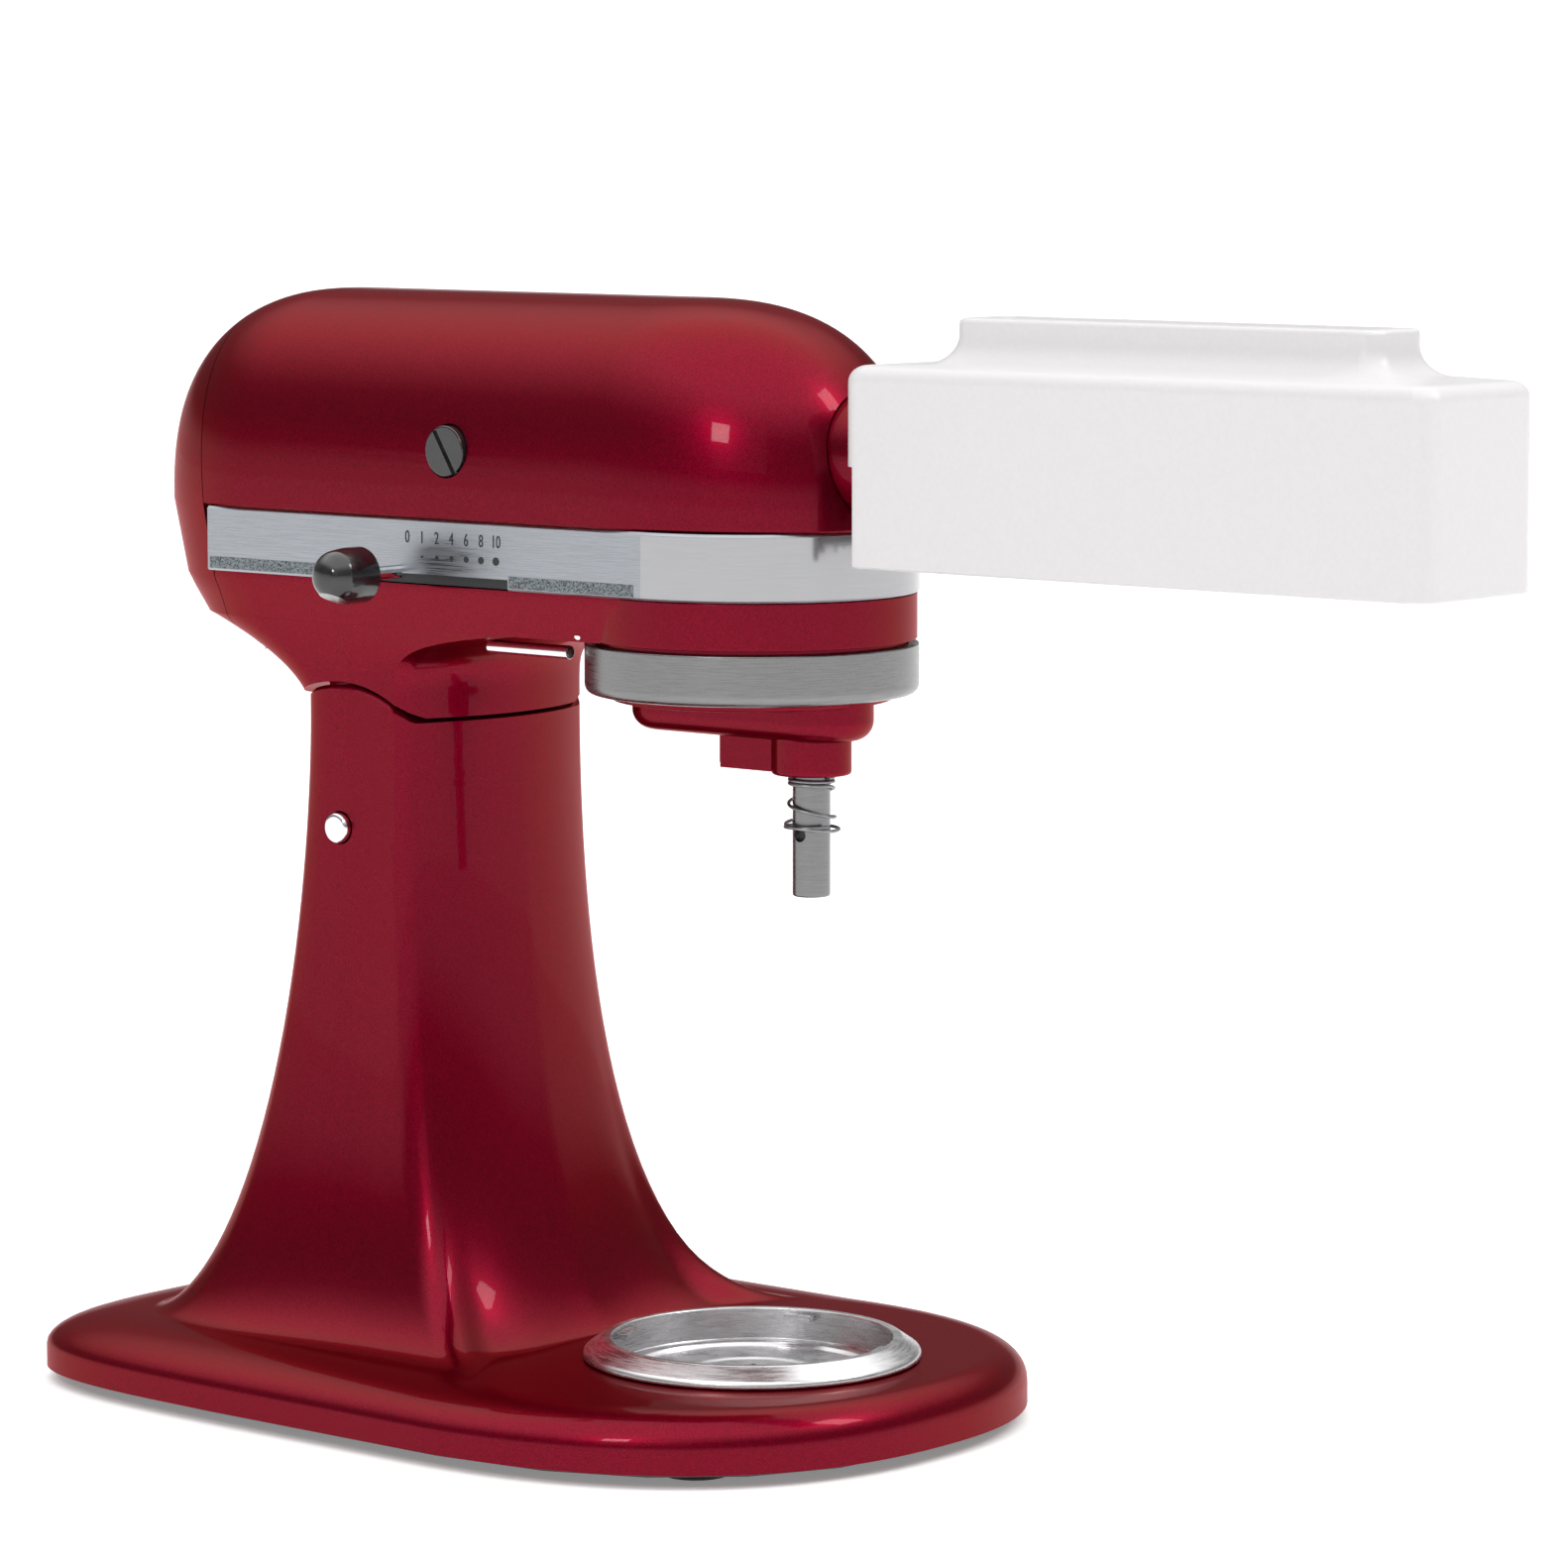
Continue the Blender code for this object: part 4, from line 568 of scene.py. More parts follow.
def head_outline(lift, inset=0.0):
    """Plan of the head where lift, 0 to 90 degrees, runs from its widest line to its crown."""
    wide, nose, tail = (math.cos(lift) ** (2 / curve) for curve in (CROWN_CURVE, NOSE_CURVE, TAIL_CURVE))
    ring = []
    for k in range(HEAD_POINTS):
        wave_x, wave_y = super_wave(2 * math.pi * k / HEAD_POINTS, PLAN_CURVE)
        if wave_x > 0:
            x = NOSE_START + (NOSE_LENGTH * nose - inset) * wave_x
        else:
            x = TAIL_START + (TAIL_LENGTH * tail - inset) * wave_x
        ring.append((x, (HEAD_HALF_WIDTH * wide - inset) * wave_y))
    return ring


def crown_rings(inset):
    """Rings from the head's widest line, just above the band, up to its crown."""
    height = HEAD_TOP - WIDEST_Z - inset
    rings = []
    for step in range(CROWN_STEPS + 1):
        lift = math.pi / 2 * CROWN_END * step / CROWN_STEPS
        rise = math.sin(lift) ** (2 / CROWN_CURVE)
        rings.append([(x, y, WIDEST_Z + height * rise) for x, y in head_outline(lift, inset)])
    return rings


def upper_rings(inset):
    """The skirt inside the band, the lip over the band, and the crown."""
    skirt = head_outline(0, inset + SKIRT_INSET)
    lip = head_outline(0, inset + LIP_INSET)
    rings = [[(x, y, z) for x, y in skirt] for z in (BAND_LOW + GAP, BAND_HIGH)]
    return rings + [[(x, y, BAND_HIGH + 0.0002) for x, y in lip]] + crown_rings(inset)


def resampled(ring):
    """A stand ring with as many points as a head ring has, evenly spread by index."""
    made = []
    for k in range(HEAD_POINTS):
        place_on = k * len(ring) / HEAD_POINTS
        first = int(place_on) % len(ring)
        share = place_on - int(place_on)
        a, b = ring[first], ring[(first + 1) % len(ring)]
        made.append((a[0] + (b[0] - a[0]) * share, a[1] + (b[1] - a[1]) * share))
    return made


def tray_outline(half_width, rear, front, inset=0.0):
    """Plan of the head's lower body: square front corners and a round tail."""
    def rear_point(angle):
        wave_x, wave_y = super_wave(angle, PLAN_CURVE)
        return TAIL_START - (rear - TAIL_START + inset) * wave_x, half_width * wave_y
    edge, corner = (front - 0.001, half_width - 0.003), (front - 0.004, half_width)
    return cornered_outline(front, edge, corner, TRAY_SIDE_END, half_width, rear_point, inset)


def neck_power(k):
    """How late the neck turns outwards: an arch in front, an even slope at the sides and rear."""
    turn = 2 * math.pi * k / STAND_POINTS
    beyond_ridge = (min(turn, 2 * math.pi - turn) - RIDGE) / NECK_BLEND
    return ARCH_POWER + (NECK_POWER - ARCH_POWER) * min(1.0, max(0.0, beyond_ridge))


def lower_rings(inset=0.0):
    """Rings from the column's plan, out over the neck, to the tray's rim.

    From a ledge just over the drip ring upwards, the tray's sides run on into the gearcase.
    """
    tray = tray_outline(TRAY_HALF_WIDTH, TRAY_REAR, TRAY_FRONT, inset)
    column = column_outline(inset)
    rings = []
    for step in range(NECK_STEPS + 1):
        level = math.sin(math.pi / 2 * step / NECK_STEPS)
        ring = []
        for k, ((cx, cy), (tx, ty)) in enumerate(zip(column, tray)):
            out = level ** neck_power(k)
            ring.append((cx + (tx - cx) * out, cy + (ty - cy) * out,
                         NECK_LOW + (TRAY_Z - NECK_LOW) * level))
        rings.append(ring)
    for half_width, rear, level in TRAY_LEVELS:
        rings.append([(x, y, level) for x, y in tray_outline(half_width, rear, TRAY_WALL_FRONT, inset)])
    return rings


def rear_cutter(gap):
    """A block bigger than the head behind the rear cover's joint, which leans back."""
    length, half_width, half_height = 0.2, 0.1, 0.15
    mesh = block((-length, -half_width, -half_height), (-gap, half_width, half_height))
    mesh.transform(Matrix.Rotation(-REAR_LEAN, 4, "Y"))
    return mesh


OUT_OF_THE_SIDE, UNDER_THE_SLOT = 0.06, 0.25  # where the cutters for the lever's slot start


def make_upper_housing():
    made = place("upper_casing", loft(upper_rings(0.0)[::-1] + upper_rings(HEAD_WALL)),
                 FINISH["red_enamel"])
    carve(made, rear_cutter(0.0), REAR_JOINT)
    before_the_nose, past_the_skirt, over_the_slot = 0.08, 0.03, SLOT_HIGH + 0.0032
    carve(made, rod(HUB_RADIUS + GAP, 0.0, before_the_nose, "x", 96), (0, 0, HUB_Z))
    carve(made, rod(BRUSH_BORE, -THROUGH, THROUGH, "y", 64), (CAP_X, 0, HUB_Z))
    carve(made, block((SLOT_REAR, -OUT_OF_THE_SIDE, UNDER_THE_SLOT),
                      (SLOT_FRONT, -past_the_skirt, over_the_slot)))
    show(made, "head", ["upper_housing"])


def make_rear_cover():
    outside, inside = ([[(x, y, ring[0][2] + wall) for x, y in resampled(ring)]
                        for ring in lower_rings(wall)] + crown_rings(wall) for wall in (0.0, HEAD_WALL))
    made = place("rear_cap", loft(outside), FINISH["red_enamel"])
    carve(made, rear_cutter(GAP), REAR_JOINT, "INTERSECT")
    carve(made, loft(inside))
    show(made, "head", ["rear_cover"])


def make_lower_housing():
    """Neck, tray and the round gearcase that stands proud of it."""
    half_width, rear, _ = TRAY_LEVELS[-1]
    top = BAND_LOW - 0.0002
    rim = [(x, y, top) for x, y in tray_outline(half_width, rear, TRAY_WALL_FRONT)]
    made = place("lower_casing", loft(lower_rings() + [rim]), FINISH["red_enamel"])
    carve(made, rod(EAR_RADIUS + 0.0012, -THROUGH, THROUGH, "y", 128), (HINGE_X, 0, HINGE_Z))
    carve(made, rear_cutter(0.0), REAR_JOINT)
    case = [(0, CASE_LOW, 0), (DRIP_SEAT_RADIUS, CASE_LOW, 0), (DRIP_SEAT_RADIUS, CASE_STEP_Z, 0),
            (CASE_RADIUS, CASE_STEP_Z, 0.0005), (CASE_RADIUS, top, 0.0004), (0, top, 0)]
    carve(made, turned(case, "z", 160), operation="UNION")
    eye_radius, lug_half_width = 0.014, 0.0350
    eye = [(HINGE_X + eye_radius * math.cos(math.radians(turn)),
            HINGE_Z + eye_radius * math.sin(math.radians(turn))) for turn in range(180, 331, 10)]
    lug_top = [(-0.115, 0.184), (-0.113, 0.236), (-0.149, 0.236), (-0.150, 0.200)]
    carve(made, prism(eye + lug_top, -lug_half_width, lug_half_width, "y"), operation="UNION")
    carve(made, rod(PIN_RADIUS + 0.0003, -THROUGH, THROUGH, "y", 48), (HINGE_X, 0, HINGE_Z))
    gear_floor, drip_floor, under, above = 0.2545, 0.2486, 0.20, 0.28
    carve(made, prism(rounded_rectangle(0.102, 0.0450, 0.012, (-0.110, 0)), gear_floor, above))
    for radius, low, high, sides in ((0.0460, gear_floor, above, 128), (0.0384, under, drip_floor, 96),
                                     (0.0076, under, above, 48)):
        carve(made, rod(radius, low, high, "z", sides))
    show(made, "head", ["lower_housing"])


def band_path(radius, front_only=False):
    """Half of the band's plan, from the rear of one side round the nose to the other side."""
    steps, side_end = 96, -0.002
    nose = [(radius * math.sin(math.pi * k / steps), -radius * math.cos(math.pi * k / steps))
            for k in range(steps + 1)]
    if front_only:
        return nose
    right, left = ([(BAND_REAR, side), (side_end, side)] for side in (-radius, radius))
    return right + nose[1:-1] + left[::-1]


def make_band():
    """Brushed band with a polished nose, and a grained strip along its lower edge."""
    levels = ((0.0006, BAND_LOW), (0.0, BAND_LOW + 0.0006), (0.0, BAND_HIGH - 0.0008), (0.0007, BAND_HIGH))
    back = band_path(BAND_OUT - BAND_THICKNESS)[::-1]
    made = place("side_band", loft([[(x, y, z) for x, y in band_path(BAND_OUT - bevel) + back]
                                    for bevel, z in levels]), BAND_BRUSHED)
    carve(made, block((SLOT_REAR, -OUT_OF_THE_SIDE, UNDER_THE_SLOT), (SLOT_FRONT, -0.04, SLOT_HIGH)))
    show(made, "head", ["trim_band"])
    proud, sunk = 0.00012, 0.0002
    nose = band_path(BAND_OUT + proud, True) + band_path(BAND_OUT - sunk, True)[::-1]
    show(place("band_nose", prism(nose, BAND_LOW + 0.0007, BAND_HIGH - 0.0010), BAND_POLISHED),
         "head")
    strip_low, strip_high = BAND_LOW + 0.0008, BAND_LOW + 0.0046
    for name, low, high in (("rear", BAND_REAR + 0.001, SLOT_REAR - GAP),
                            ("front", SLOT_FRONT + GAP, -0.003)):
        for side in (-1, 1):
            faces = sorted((side * (BAND_OUT - 0.0003), side * (BAND_OUT + 0.00010)))
            strip = block((low, faces[0], strip_low), (high, faces[1], strip_high))
            show(place("grain_%s_%s" % (name, "left" if side > 0 else "right"), strip, BAND_GRAIN),
                 "head")
    inset, back_y, front_y = 0.0002, -0.0500, -0.0470
    recess = block((SLOT_REAR + inset, back_y, BAND_LOW + inset), (SLOT_FRONT - inset, front_y, SLOT_HIGH))
    show(place("slot_back", recess, INK), "head")


def make_dial():
    """Generic speed numbers, and a growing dot under each but the first."""
    rear, front, number_z, dot_z = -0.0977, -0.0599, 0.2798, 0.2739
    number_size, narrowing, thickness = 0.0056, 0.72, 0.00006
    labels = ("0", "1", "2", "4", "6", "8", "10")
    for k, label in enumerate(labels):
        x = rear + (front - rear) * k / (len(labels) - 1)
        curve = bpy.data.curves.new("digits", "FONT")
        curve.body, curve.size, curve.extrude = label, number_size, thickness
        curve.align_x = curve.align_y = "CENTER"
        text = bpy.data.objects.new("digits", curve)
        bpy.context.scene.collection.objects.link(text)
        bpy.context.view_layer.update()
        graph = bpy.context.evaluated_depsgraph_get()
        data = bpy.data.meshes.new_from_object(text.evaluated_get(graph))
        bpy.data.objects.remove(text)
        data.materials.clear()
        data.materials.append(INK)
        made = bpy.data.objects.new("dial_number_" + label, data)
        bpy.context.scene.collection.objects.link(made)
        made.rotation_euler = (math.pi / 2, 0, 0)
        made.scale = (narrowing, 1, 1)
        made.location = (x + BOWL_X, -BAND_OUT - thickness, number_z)
        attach(made, "head")
        if k:
            dot = rod(0.0003 + 0.00017 * k, -2 * thickness, 0.0, "y", 32)
            show(place("dial_dot_" + label, dot, INK, (x, -BAND_OUT, dot_z)), "head")


def make_brush_caps():
    """Slotted caps; the slots lean by the same angle on both sides."""
    radius, inner, outer, slot_middle, slot_lean = 0.0080, 0.0446, 0.0534, 0.0540, math.radians(-32)
    for side, name in ((1, "left"), (-1, "right")):
        low, high = sorted((side * inner, side * outer))
        cap = place("cap_" + name, rod(radius, low, high, "y", 64, 0.0007), FINISH["black_plastic"],
                    (CAP_X, 0, HUB_Z))
        slot = block((-0.0008, -0.0016, -0.0095), (0.0008, 0.0016, 0.0095))
        slot.transform(Matrix.Rotation(slot_lean, 4, "Y"))
        carve(cap, slot, (CAP_X, side * slot_middle, HUB_Z))
        show(cap, "head", ["brush_cap_" + name])


def make_drip_ring():
    seat, mouth, floor = DRIP_SEAT_RADIUS + 0.0005, 0.0462, DRIP_LOW + 0.0018
    ring = turned([(seat, floor, 0), (mouth, floor, 0.0004), (mouth, DRIP_LOW, 0.0006),
                   (DRIP_RADIUS, DRIP_LOW, 0.0036),
                   (DRIP_RADIUS, DRIP_HIGH, 0.0005), (seat, DRIP_HIGH, 0.0)], "z", 192, 10)
    show(place("drip_trim", ring, FINISH["brushed_steel"]), "head", ["drip_ring"])


def make_hub():
    """The hub's socket, and the knurled clamp knob on its left."""
    socket = turned([(HUB_BORE, HUB_REAR, 0), (HUB_RADIUS, HUB_REAR, 0), (HUB_RADIUS, HUB_FRONT, 0.0012),
                     (HUB_BORE, HUB_FRONT, 0.0006)], "x", 128)
    made = place("hub_ring", socket, FINISH["red_enamel"], (0, 0, HUB_Z))
    knob_x = middle("hub_knob").x - BOWL_X
    carve(made, rod(0.0034, 0.005, 0.04, "y", 40), (knob_x, 0, HUB_Z))
    show(made, "head", ["hub_socket"])
    stem, grip, grooves, groove_circle = 0.0030, 0.0112, 16, 0.0117
    knob = turned([(0, 0.0136, 0), (stem, 0.0136, 0.0003), (stem, 0.0370, 0), (0.0100, 0.0370, 0.0010),
                   (grip, 0.0400, 0.0014), (grip, 0.0490, 0.0014), (0.0085, 0.0512, 0.0012),
                   (0, 0.0508, 0)], "y", 80)
    made = place("clamp_knob", knob, FINISH["black_plastic"], (knob_x, 0, HUB_Z))
    for k in range(grooves):
        angle = 2 * math.pi * k / grooves
        carve(made, rod(0.0010, 0.0385, 0.0500, "y", 16),
              (knob_x + groove_circle * math.cos(angle), 0, HUB_Z + groove_circle * math.sin(angle)))
    show(made, "hub_knob", ["hub_knob"])


def make_head_fasteners():
    """A plunger's rounded end and its rod behind the drip ring, and a screw under the rear cover."""
    end_at, rod_at, screw_at = (-0.0310, -0.0448, 0.2524), (0, -0.0290, 0.2445), (-0.1850, -0.0285, 0.2408)
    end = turned([(0, -0.0022, 0), (0.0020, -0.0022, 0.0012), (0.0020, 0.0030, 0), (0, 0.0030, 0)], "y", 40)
    show(place("plunger_end", end, FINISH["chrome"], end_at), "head")
    show(place("plunger_rod", rod(0.0022, -0.084, -0.0500, "x", 40, 0.0004), FINISH["chrome"], rod_at),
         "head")
    head = turned([(0, -0.0030, 0), (0.0028, -0.0030, 0.0010), (0.0028, 0.0040, 0), (0, 0.0040, 0)], "z", 40)
    screw = place("cover_screw", head, FINISH["chrome"], screw_at)
    carve(screw, block((-0.0020, -0.0004, -0.004), (0.0020, 0.0004, -0.0018)), screw_at)
    show(screw, "head")


make_upper_housing()
make_rear_cover()
make_lower_housing()
make_band()
make_dial()
make_brush_caps()
make_drip_ring()
make_head_fasteners()
make_hub()

# ---------- planetary and beater shaft


ARM_HALF_LENGTH, ARM_HALF_WIDTH, ARM_LOW, ARM_ROUND = 0.0445, 0.0160, 0.2200, 0.0062


def arm_ring(inset, z):
    """A level ring round the arm, whose ends are round."""
    steps, radius = 24, ARM_HALF_WIDTH - inset
    points = []
    for k in range(steps + 1):
        angle = -math.pi / 2 + math.pi * k / steps
        points.append((ARM_HALF_LENGTH - ARM_HALF_WIDTH + radius * math.cos(angle), radius * math.sin(angle)))
    return [(x, y, z) for x, y in points] + [(-x, -y, z) for x, y in points]


def make_planetary():
    """A disc under the gearcase, a round-ended arm, the beater's boss and a lug with a set screw."""
    shaft_radius, disc_radius, disc_low, disc_high = 0.0070, 0.0440, 0.2310, 0.2362
    inside_the_disc, boss_radius, boss_low, lug_x = 0.2330, 0.0125, 0.209, -0.0085
    disc = turned([(shaft_radius, disc_low, 0), (disc_radius, disc_low, 0.0012),
                   (disc_radius, disc_high, 0.0004), (shaft_radius, disc_high, 0)], "z", 128)
    made = place("planetary_arm", disc, FINISH["red_enamel"])
    rings = []
    for step in range(11):
        angle = math.pi / 2 * step / 10
        rings.append(arm_ring(ARM_ROUND * (1 - math.sin(angle)), ARM_LOW + ARM_ROUND * (1 - math.cos(angle))))
    carve(made, loft(rings + [arm_ring(0.0, inside_the_disc)]), operation="UNION")
    boss = turned([(0, boss_low, 0), (boss_radius, boss_low, 0.0014), (boss_radius, inside_the_disc, 0),
                   (0, inside_the_disc, 0)], "z", 96)
    carve(made, boss, (BEATER_X, 0, 0), "UNION")
    lug = block((lug_x, -0.0070, 0.2096), (BEATER_X, 0.0070, 0.2230))
    edges = [e for e in lug.edges if max(v.co.x for v in e.verts) < BEATER_X - 0.001]
    bmesh.ops.bevel(lug, geom=edges, offset=0.0014, segments=4, affect="EDGES")
    carve(made, lug, operation="UNION")
    carve(made, rod(shaft_radius, 0.2255, 0.2500, "z", 64))
    carve(made, rod(0.0064, 0.19, 0.25, "z", 64), (BEATER_X, 0, 0))
    show(made, "planetary", ["planetary_casting"])
    screw_at = (0, 0, 0.2160)
    screw = place("set_screw", rod(0.0026, -0.0096, -0.0070, "x", 40, 0.0004), FINISH["chrome"], screw_at)
    carve(screw, rod(0.0012, -0.0100, -0.0085, "x", 6), screw_at)
    show(screw, "planetary")


def spring_path():
    """Two tight coils under the boss, an open one, then two wider coils round the pin."""
    points_a_turn = 40
    path = []
    # turns, first and last radius, first and last height
    stages = ((2.0, 0.0069, 0.0069, 0.2082, 0.2058), (1.0, 0.0069, 0.0072, 0.2058, 0.1962),
              (1.0, 0.0072, 0.0086, 0.1962, 0.1918), (1.0, 0.0086, 0.0080, 0.1918, 0.1932))
    turn = 0.0
    for turns, first, last, high, low in stages:
        count = int(turns * points_a_turn)
        for k in range(count):
            share = k / count
            angle = 2 * math.pi * (turn + turns * share)
            radius = first + (last - first) * share
            path.append(Vector((radius * math.cos(angle), radius * math.sin(angle),
                                high + (low - high) * share)))
        turn += turns
    return path


def make_beater():
    lower, upper, shoulder, top = 0.0059, 0.0044, 0.2365, 0.2478
    shaft = turned([(0, SHAFT_LOW, 0), (lower, SHAFT_LOW, 0.0009), (lower, shoulder, 0.0003),
                    (upper, shoulder, 0), (upper, top, 0.0003), (0, top, 0)], "z", 96)
    made = place("beater_spindle", shaft, FINISH["brushed_steel"], (BEATER_X, 0, 0))
    pin_radius, pin_z = 0.0022, 0.1905
    carve(made, rod(pin_radius, -0.01, 0.01, "y", 40), (BEATER_X, 0, pin_z))
    show(made, "beater", ["beater_shaft"])
    wire_radius, wire_sides, up = 0.00055, 10, Vector((0, 0, 1))
    rings = []
    for point in spring_path():
        outward = Vector((point.x, point.y, 0)).normalized()
        rings.append([point + wire_radius * (outward * math.cos(t) + up * math.sin(t))
                      for t in (2 * math.pi * j / wire_sides for j in range(wire_sides))])
    show(place("beater_coil", loft(rings), FINISH["dark_steel"], (BEATER_X, 0, 0)), "beater",
         ["beater_spring"])


make_planetary()
make_beater()

# ---------- levers


def make_speed_lever():
    """A domed knob with one flat, on a ribbed neck."""
    x, z = middle("speed_knob").x - BOWL_X, middle("speed_knob").z
    widest, rib, groove, flat_lean = 0.0089, 0.0060, 0.0052, math.radians(-24)
    knob = turned([(0, -0.0875, 0), (0.0048, -0.0862, 0.0016), (0.0080, -0.0825, 0.0020),
                   (widest, -0.0765, 0.0020), (widest, -0.0690, 0.0008), (rib, -0.0690, 0.0004),
                   (rib, -0.0682, 0.0002), (groove, -0.0680, 0.0002), (rib, -0.0676, 0.0002),
                   (rib, -0.0668, 0.0002), (groove, -0.0666, 0.0002), (groove, -0.0655, 0.0003),
                   (0, -0.0655, 0)], "y", 80)
    made = place("speed_grip", knob, FINISH["black_plastic"], (x, 0, z))
    flat = block((-0.02, -0.02, -0.03), (0.02, 0.02, -0.0068))
    flat.transform(Matrix.Rotation(flat_lean, 4, "X"))
    carve(made, flat, (x, -0.0800, z))
    show(made, "speed_lever", ["speed_knob"])


def make_lock_lever():
    x, z = middle("lock_knob").x - BOWL_X, middle("lock_knob").z
    knob = turned([(0, 0.0547, 0), (0.0042, 0.0547, 0.0004), (0.0075, 0.0605, 0.0020),
                   (0.0085, 0.0680, 0.0030), (0.0068, 0.0755, 0.0030), (0, 0.0768, 0)], "y", 80)
    show(place("lock_grip", knob, FINISH["black_plastic"], (x, 0, z)), "lock_lever",
         ["lock_knob"])


make_speed_lever()
make_lock_lever()

# ---------- tenderiser


BOX_CORNER, BOX_EDGE = 0.007, 0.0050
SWEEP, COLLAR_GROW, COLLAR_CORNER, COLLAR_EDGE = 0.0090, 0.0068, 0.0065, 0.0016
SLOT_CORNER = 0.003


def box_ring(inset, z):
    centre = ((COVER_REAR + COVER_FRONT) / 2, 0)
    half = (COVER_FRONT - COVER_REAR) / 2 - inset
    corner = BOX_CORNER - inset * 0.5
    return [(x, y, z) for x, y in rounded_rectangle(half, COVER_HALF_WIDTH - inset, corner, centre)]


def collar_ring(grow, z, radius):
    centre = ((FEED_REAR + FEED_FRONT) / 2, 0)
    half = (FEED_FRONT - FEED_REAR) / 2 + grow
    return [(x, y, z) for x, y in rounded_rectangle(half, FEED_HALF_WIDTH + grow, radius, centre)]


def quarter(steps, first=0):
    """(1 - cos, 1 - sin) over a quarter turn."""
    turns = (math.pi / 2 * k / steps for k in range(first, steps + 1))
    return [(1 - math.cos(t), 1 - math.sin(t)) for t in turns]


def make_feed_cover():
    """A smooth moulded box whose top sweeps up into the feed collar."""
    outside = [box_ring(0.0006, COVER_LOW), box_ring(0, COVER_LOW + 0.0006)]
    outside += [box_ring(BOX_EDGE * inwards, COVER_TOP - BOX_EDGE * below) for inwards, below in quarter(8)]
    for above, outwards in quarter(9, 1):
        grow = COLLAR_GROW + SWEEP * outwards
        outside.append(collar_ring(grow, COVER_TOP + 0.0006 + SWEEP * above,
                                   COLLAR_CORNER + 0.3 * (grow - COLLAR_GROW)))
    outside += [collar_ring(0.0066 - COLLAR_EDGE * inwards, COLLAR_TOP - COLLAR_EDGE * below, 0.0058)
                for inwards, below in quarter(5)]
    under_top = COVER_TOP - COVER_WALL
    inside = [collar_ring(0.0006, COLLAR_TOP, 0.0034), collar_ring(0.0, COLLAR_TOP - 0.0008, SLOT_CORNER),
              collar_ring(0.0, under_top, SLOT_CORNER), box_ring(COVER_WALL, under_top),
              box_ring(COVER_WALL, COVER_LOW)]
    made = place("feed_box", loft(outside + inside, closed=True), FINISH["white_plastic"])
    # an opening at the rear for the body's end plate, and a deeper one for the hub
    behind, under, hub_half_width = COVER_REAR - 0.01, COVER_LOW - 0.01, 0.0138
    carve(made, block((behind, -0.04, under), (COVER_REAR + 0.0050, 0.04, 0.307)))
    carve(made, block((behind, -hub_half_width, under),
                      (COVER_REAR + 0.0120, hub_half_width, HUB_Z + hub_half_width)))
    show(made, "feed_cover", ["feed_cover"])


def blade_pack(side):
    """Three thin toothed blades in the place of each of the frame's thick ones, on one sleeve."""
    rear, front, blades, packs, teeth = 0.088, 0.250, 3, 8, 20
    pitch, pack_width, thickness, tooth_depth = (front - rear) / packs, 0.0034, 0.0007, 0.0022
    low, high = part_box("roller_blades_b")
    tip, core, bore = (high.z - low.z) / 2 - 0.0001, 0.0068, 0.0038
    sleeve_end, stagger = front + 0.0018, 0.7 if side > 0 else 0.2

    def ring(x, radius, depth=0.0):
        """Four points a tooth, of which the outer two are depth lower."""
        points = []
        for k in range(4 * teeth):
            reach = radius - (depth if k % 4 in (0, 3) else 0.0)
            angle = 2 * math.pi * k / (4 * teeth)
            points.append((x, reach * math.cos(angle), reach * math.sin(angle)))
        return points

    rings = [ring(rear, core)]
    for pack in range(packs):
        start = rear + (pack + stagger) * pitch
        for blade in range(blades):
            x = start + (pack_width - thickness) * blade / (blades - 1)
            rings += [ring(x, core), ring(x, tip, tooth_depth), ring(x + thickness, tip, tooth_depth),
                      ring(x + thickness, core)]
    rings += [ring(sleeve_end, core), ring(sleeve_end, bore), ring(rear, bore)]
    return loft(rings, closed=True)


make_feed_cover()
for side, name in ((-1, "a"), (1, "b")):
    show(place("blade_pack_" + name, blade_pack(side), FINISH["brushed_steel"],
               (0, side * ROLLER_Y, ROLLER_Z)), "roller_" + name,
         ["roller_blades_" + name])

# ---------- studio


CEILING = 1.95  # brightness overhead
# the sky by height, from straight down to straight up: a white horizon, dim walls, a bright ceiling
SKY = ((0.53, 0.54), (0.57, 0.10), (0.72, 0.16), (0.88, 1.0))
FLOOR_GLOW, FLOOR_SIZE = 0.22, 30
HEAD_AT, COLUMN_AT = (BOWL_X - 0.05, 0, 0.25), (BOWL_X - 0.1, 0, 0.12)
# name, place, what it faces, width and height, power in watts
LAMPS = (("front_softbox", (0.95, 0.50, 1.20), COLUMN_AT, (0.28, 0.5), 4.5),
         ("side_softbox", (0.25, -1.4, 1.0), HEAD_AT, (0.25, 0.25), 3.5),
         ("wide_fill", (1.0, -2.4, 1.3), HEAD_AT, (1.6, 1.0), 1.5))
CAMERA_AT = (1.22897 + BOWL_X, -1.44905, 0.420)
CAMERA_TILT, CAMERA_TURN = math.radians(83.519), math.radians(40)
LENS, SENSOR = 140.52, 36


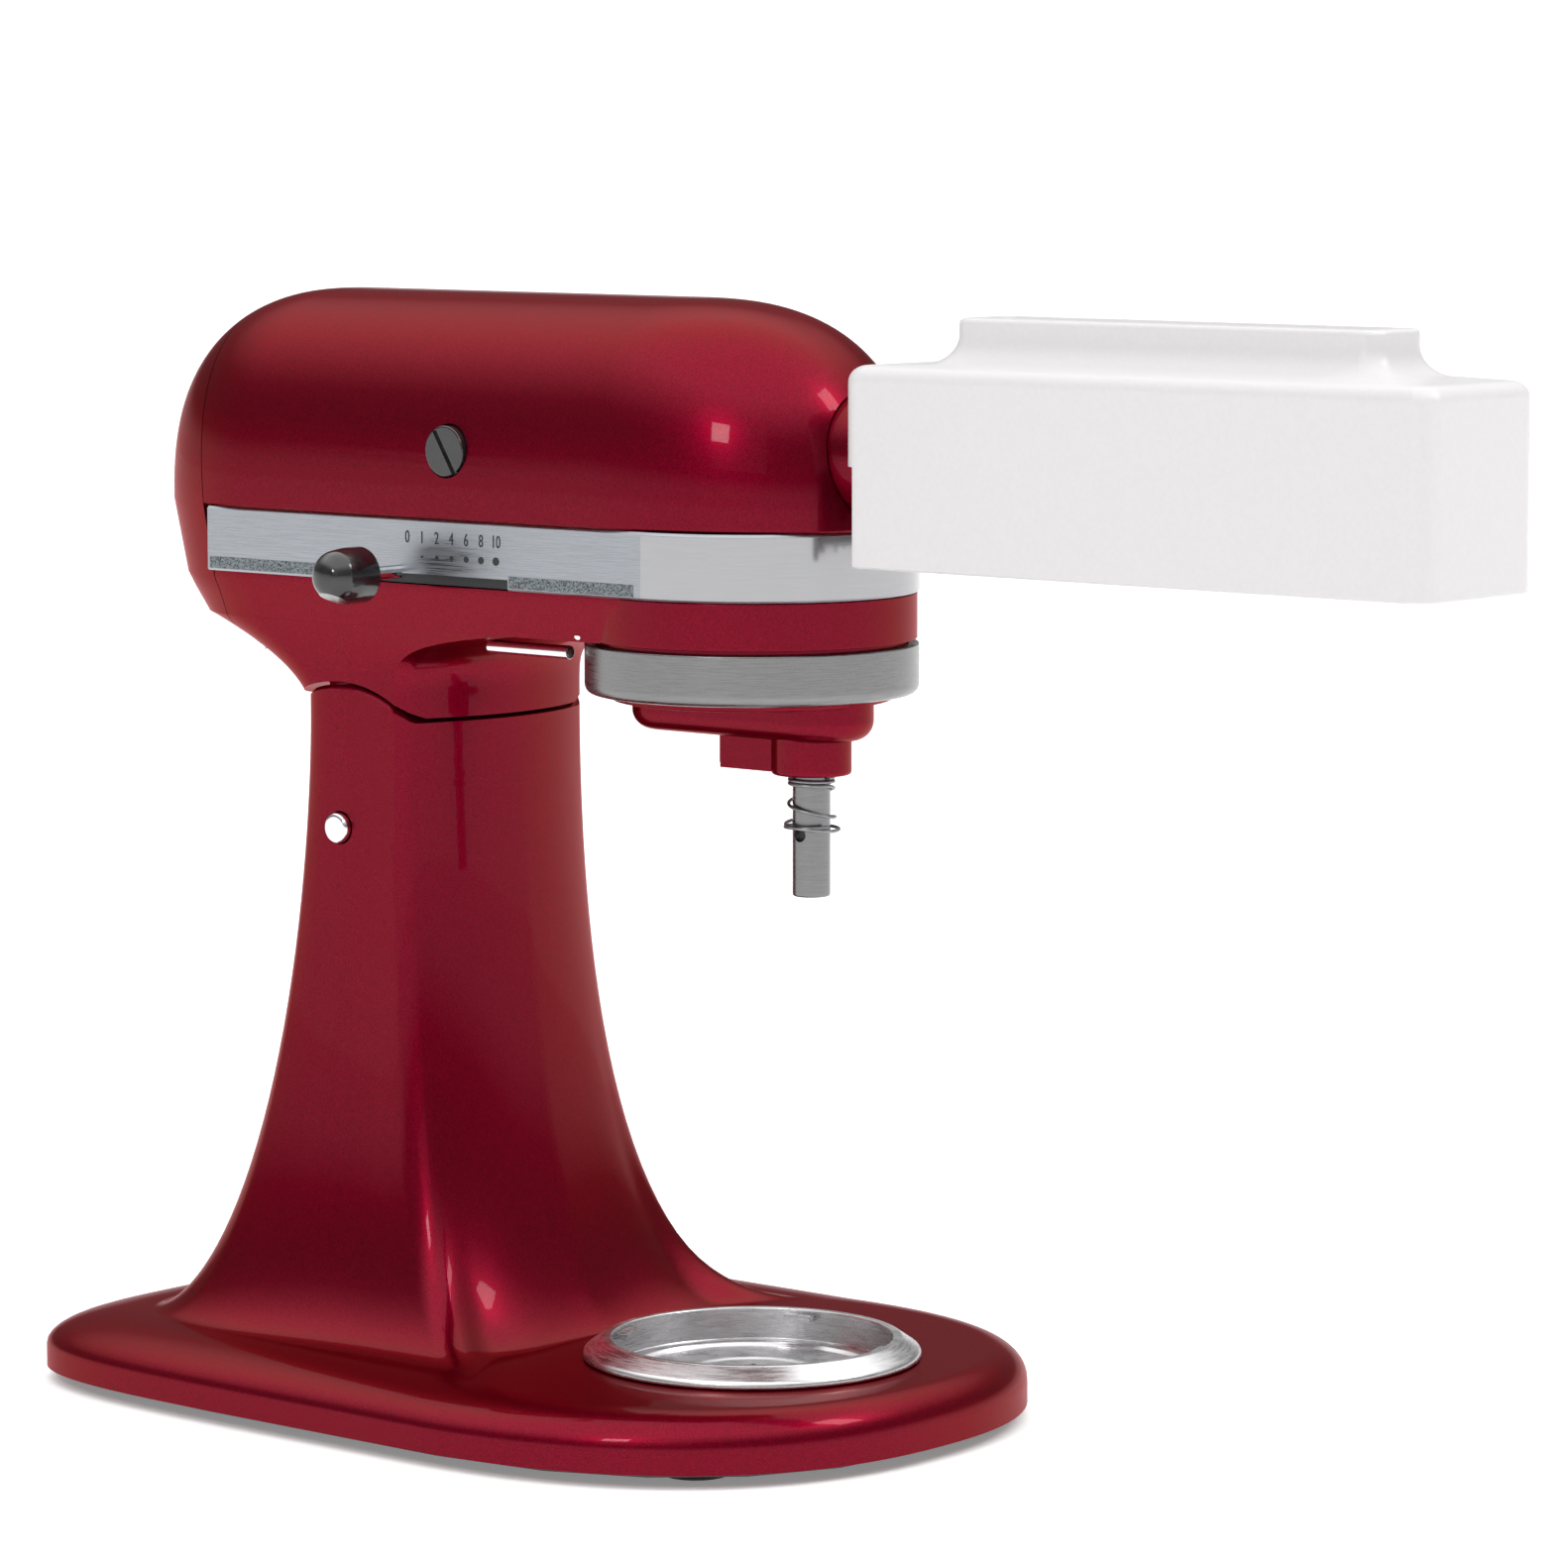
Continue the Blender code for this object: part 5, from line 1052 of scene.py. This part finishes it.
def make_lamp(name, at, target, size, power):
    data = bpy.data.lights.new(name, "AREA")
    data.shape, data.energy = "RECTANGLE", power
    data.size, data.size_y = size
    lamp = bpy.data.objects.new(name, data)
    bpy.context.scene.collection.objects.link(lamp)
    lamp.location = at
    lamp.rotation_euler = (Vector(target) - Vector(at)).to_track_quat("-Z", "Y").to_euler()


def make_sky():
    world = bpy.data.worlds.new("studio")
    bpy.context.scene.world = world
    world.use_nodes = True
    nodes, links = world.node_tree.nodes, world.node_tree.links
    coordinates, split, height, sky = (nodes.new("ShaderNode" + kind) for kind in
                                       ("TexCoord", "SeparateXYZ", "MapRange", "ValToRGB"))
    height.inputs["From Min"].default_value = -1.0
    elements = sky.color_ramp.elements
    while len(elements) < len(SKY):
        elements.new(0.5)
    for element, (position, level) in zip(elements, SKY):
        element.position, element.color = position, (level, level, level, 1)
    background = nodes["Background"]
    background.inputs["Strength"].default_value = CEILING
    links.new(coordinates.outputs["Generated"], split.inputs["Vector"])
    links.new(split.outputs["Z"], height.inputs["Value"])
    links.new(height.outputs["Result"], sky.inputs["Fac"])
    links.new(sky.outputs["Color"], background.inputs["Color"])


def make_floor():
    mesh = bmesh.new()
    bmesh.ops.create_grid(mesh, x_segments=1, y_segments=1, size=FLOOR_SIZE)
    finish = textured("studio_floor", (0.93, 0.93, 0.93), 0.6, scale=3.0, vary=0.005, relief=0.0)
    shader = finish.node_tree.nodes["Principled BSDF"]
    shader.inputs["Emission Color"].default_value = (1, 1, 1, 1)
    shader.inputs["Emission Strength"].default_value = FLOOR_GLOW
    place("floor", mesh, finish)


def make_camera():
    data = bpy.data.cameras.new("camera")
    camera = bpy.data.objects.new("camera", data)
    bpy.context.scene.collection.objects.link(camera)
    camera.location = CAMERA_AT
    camera.rotation_euler = (CAMERA_TILT, 0, CAMERA_TURN)
    data.lens, data.sensor_width = LENS, SENSOR
    bpy.context.scene.camera = camera


make_floor()
make_sky()
for lamp in LAMPS:
    make_lamp(*lamp)
make_camera()
bpy.context.scene.view_settings.view_transform = "Standard"
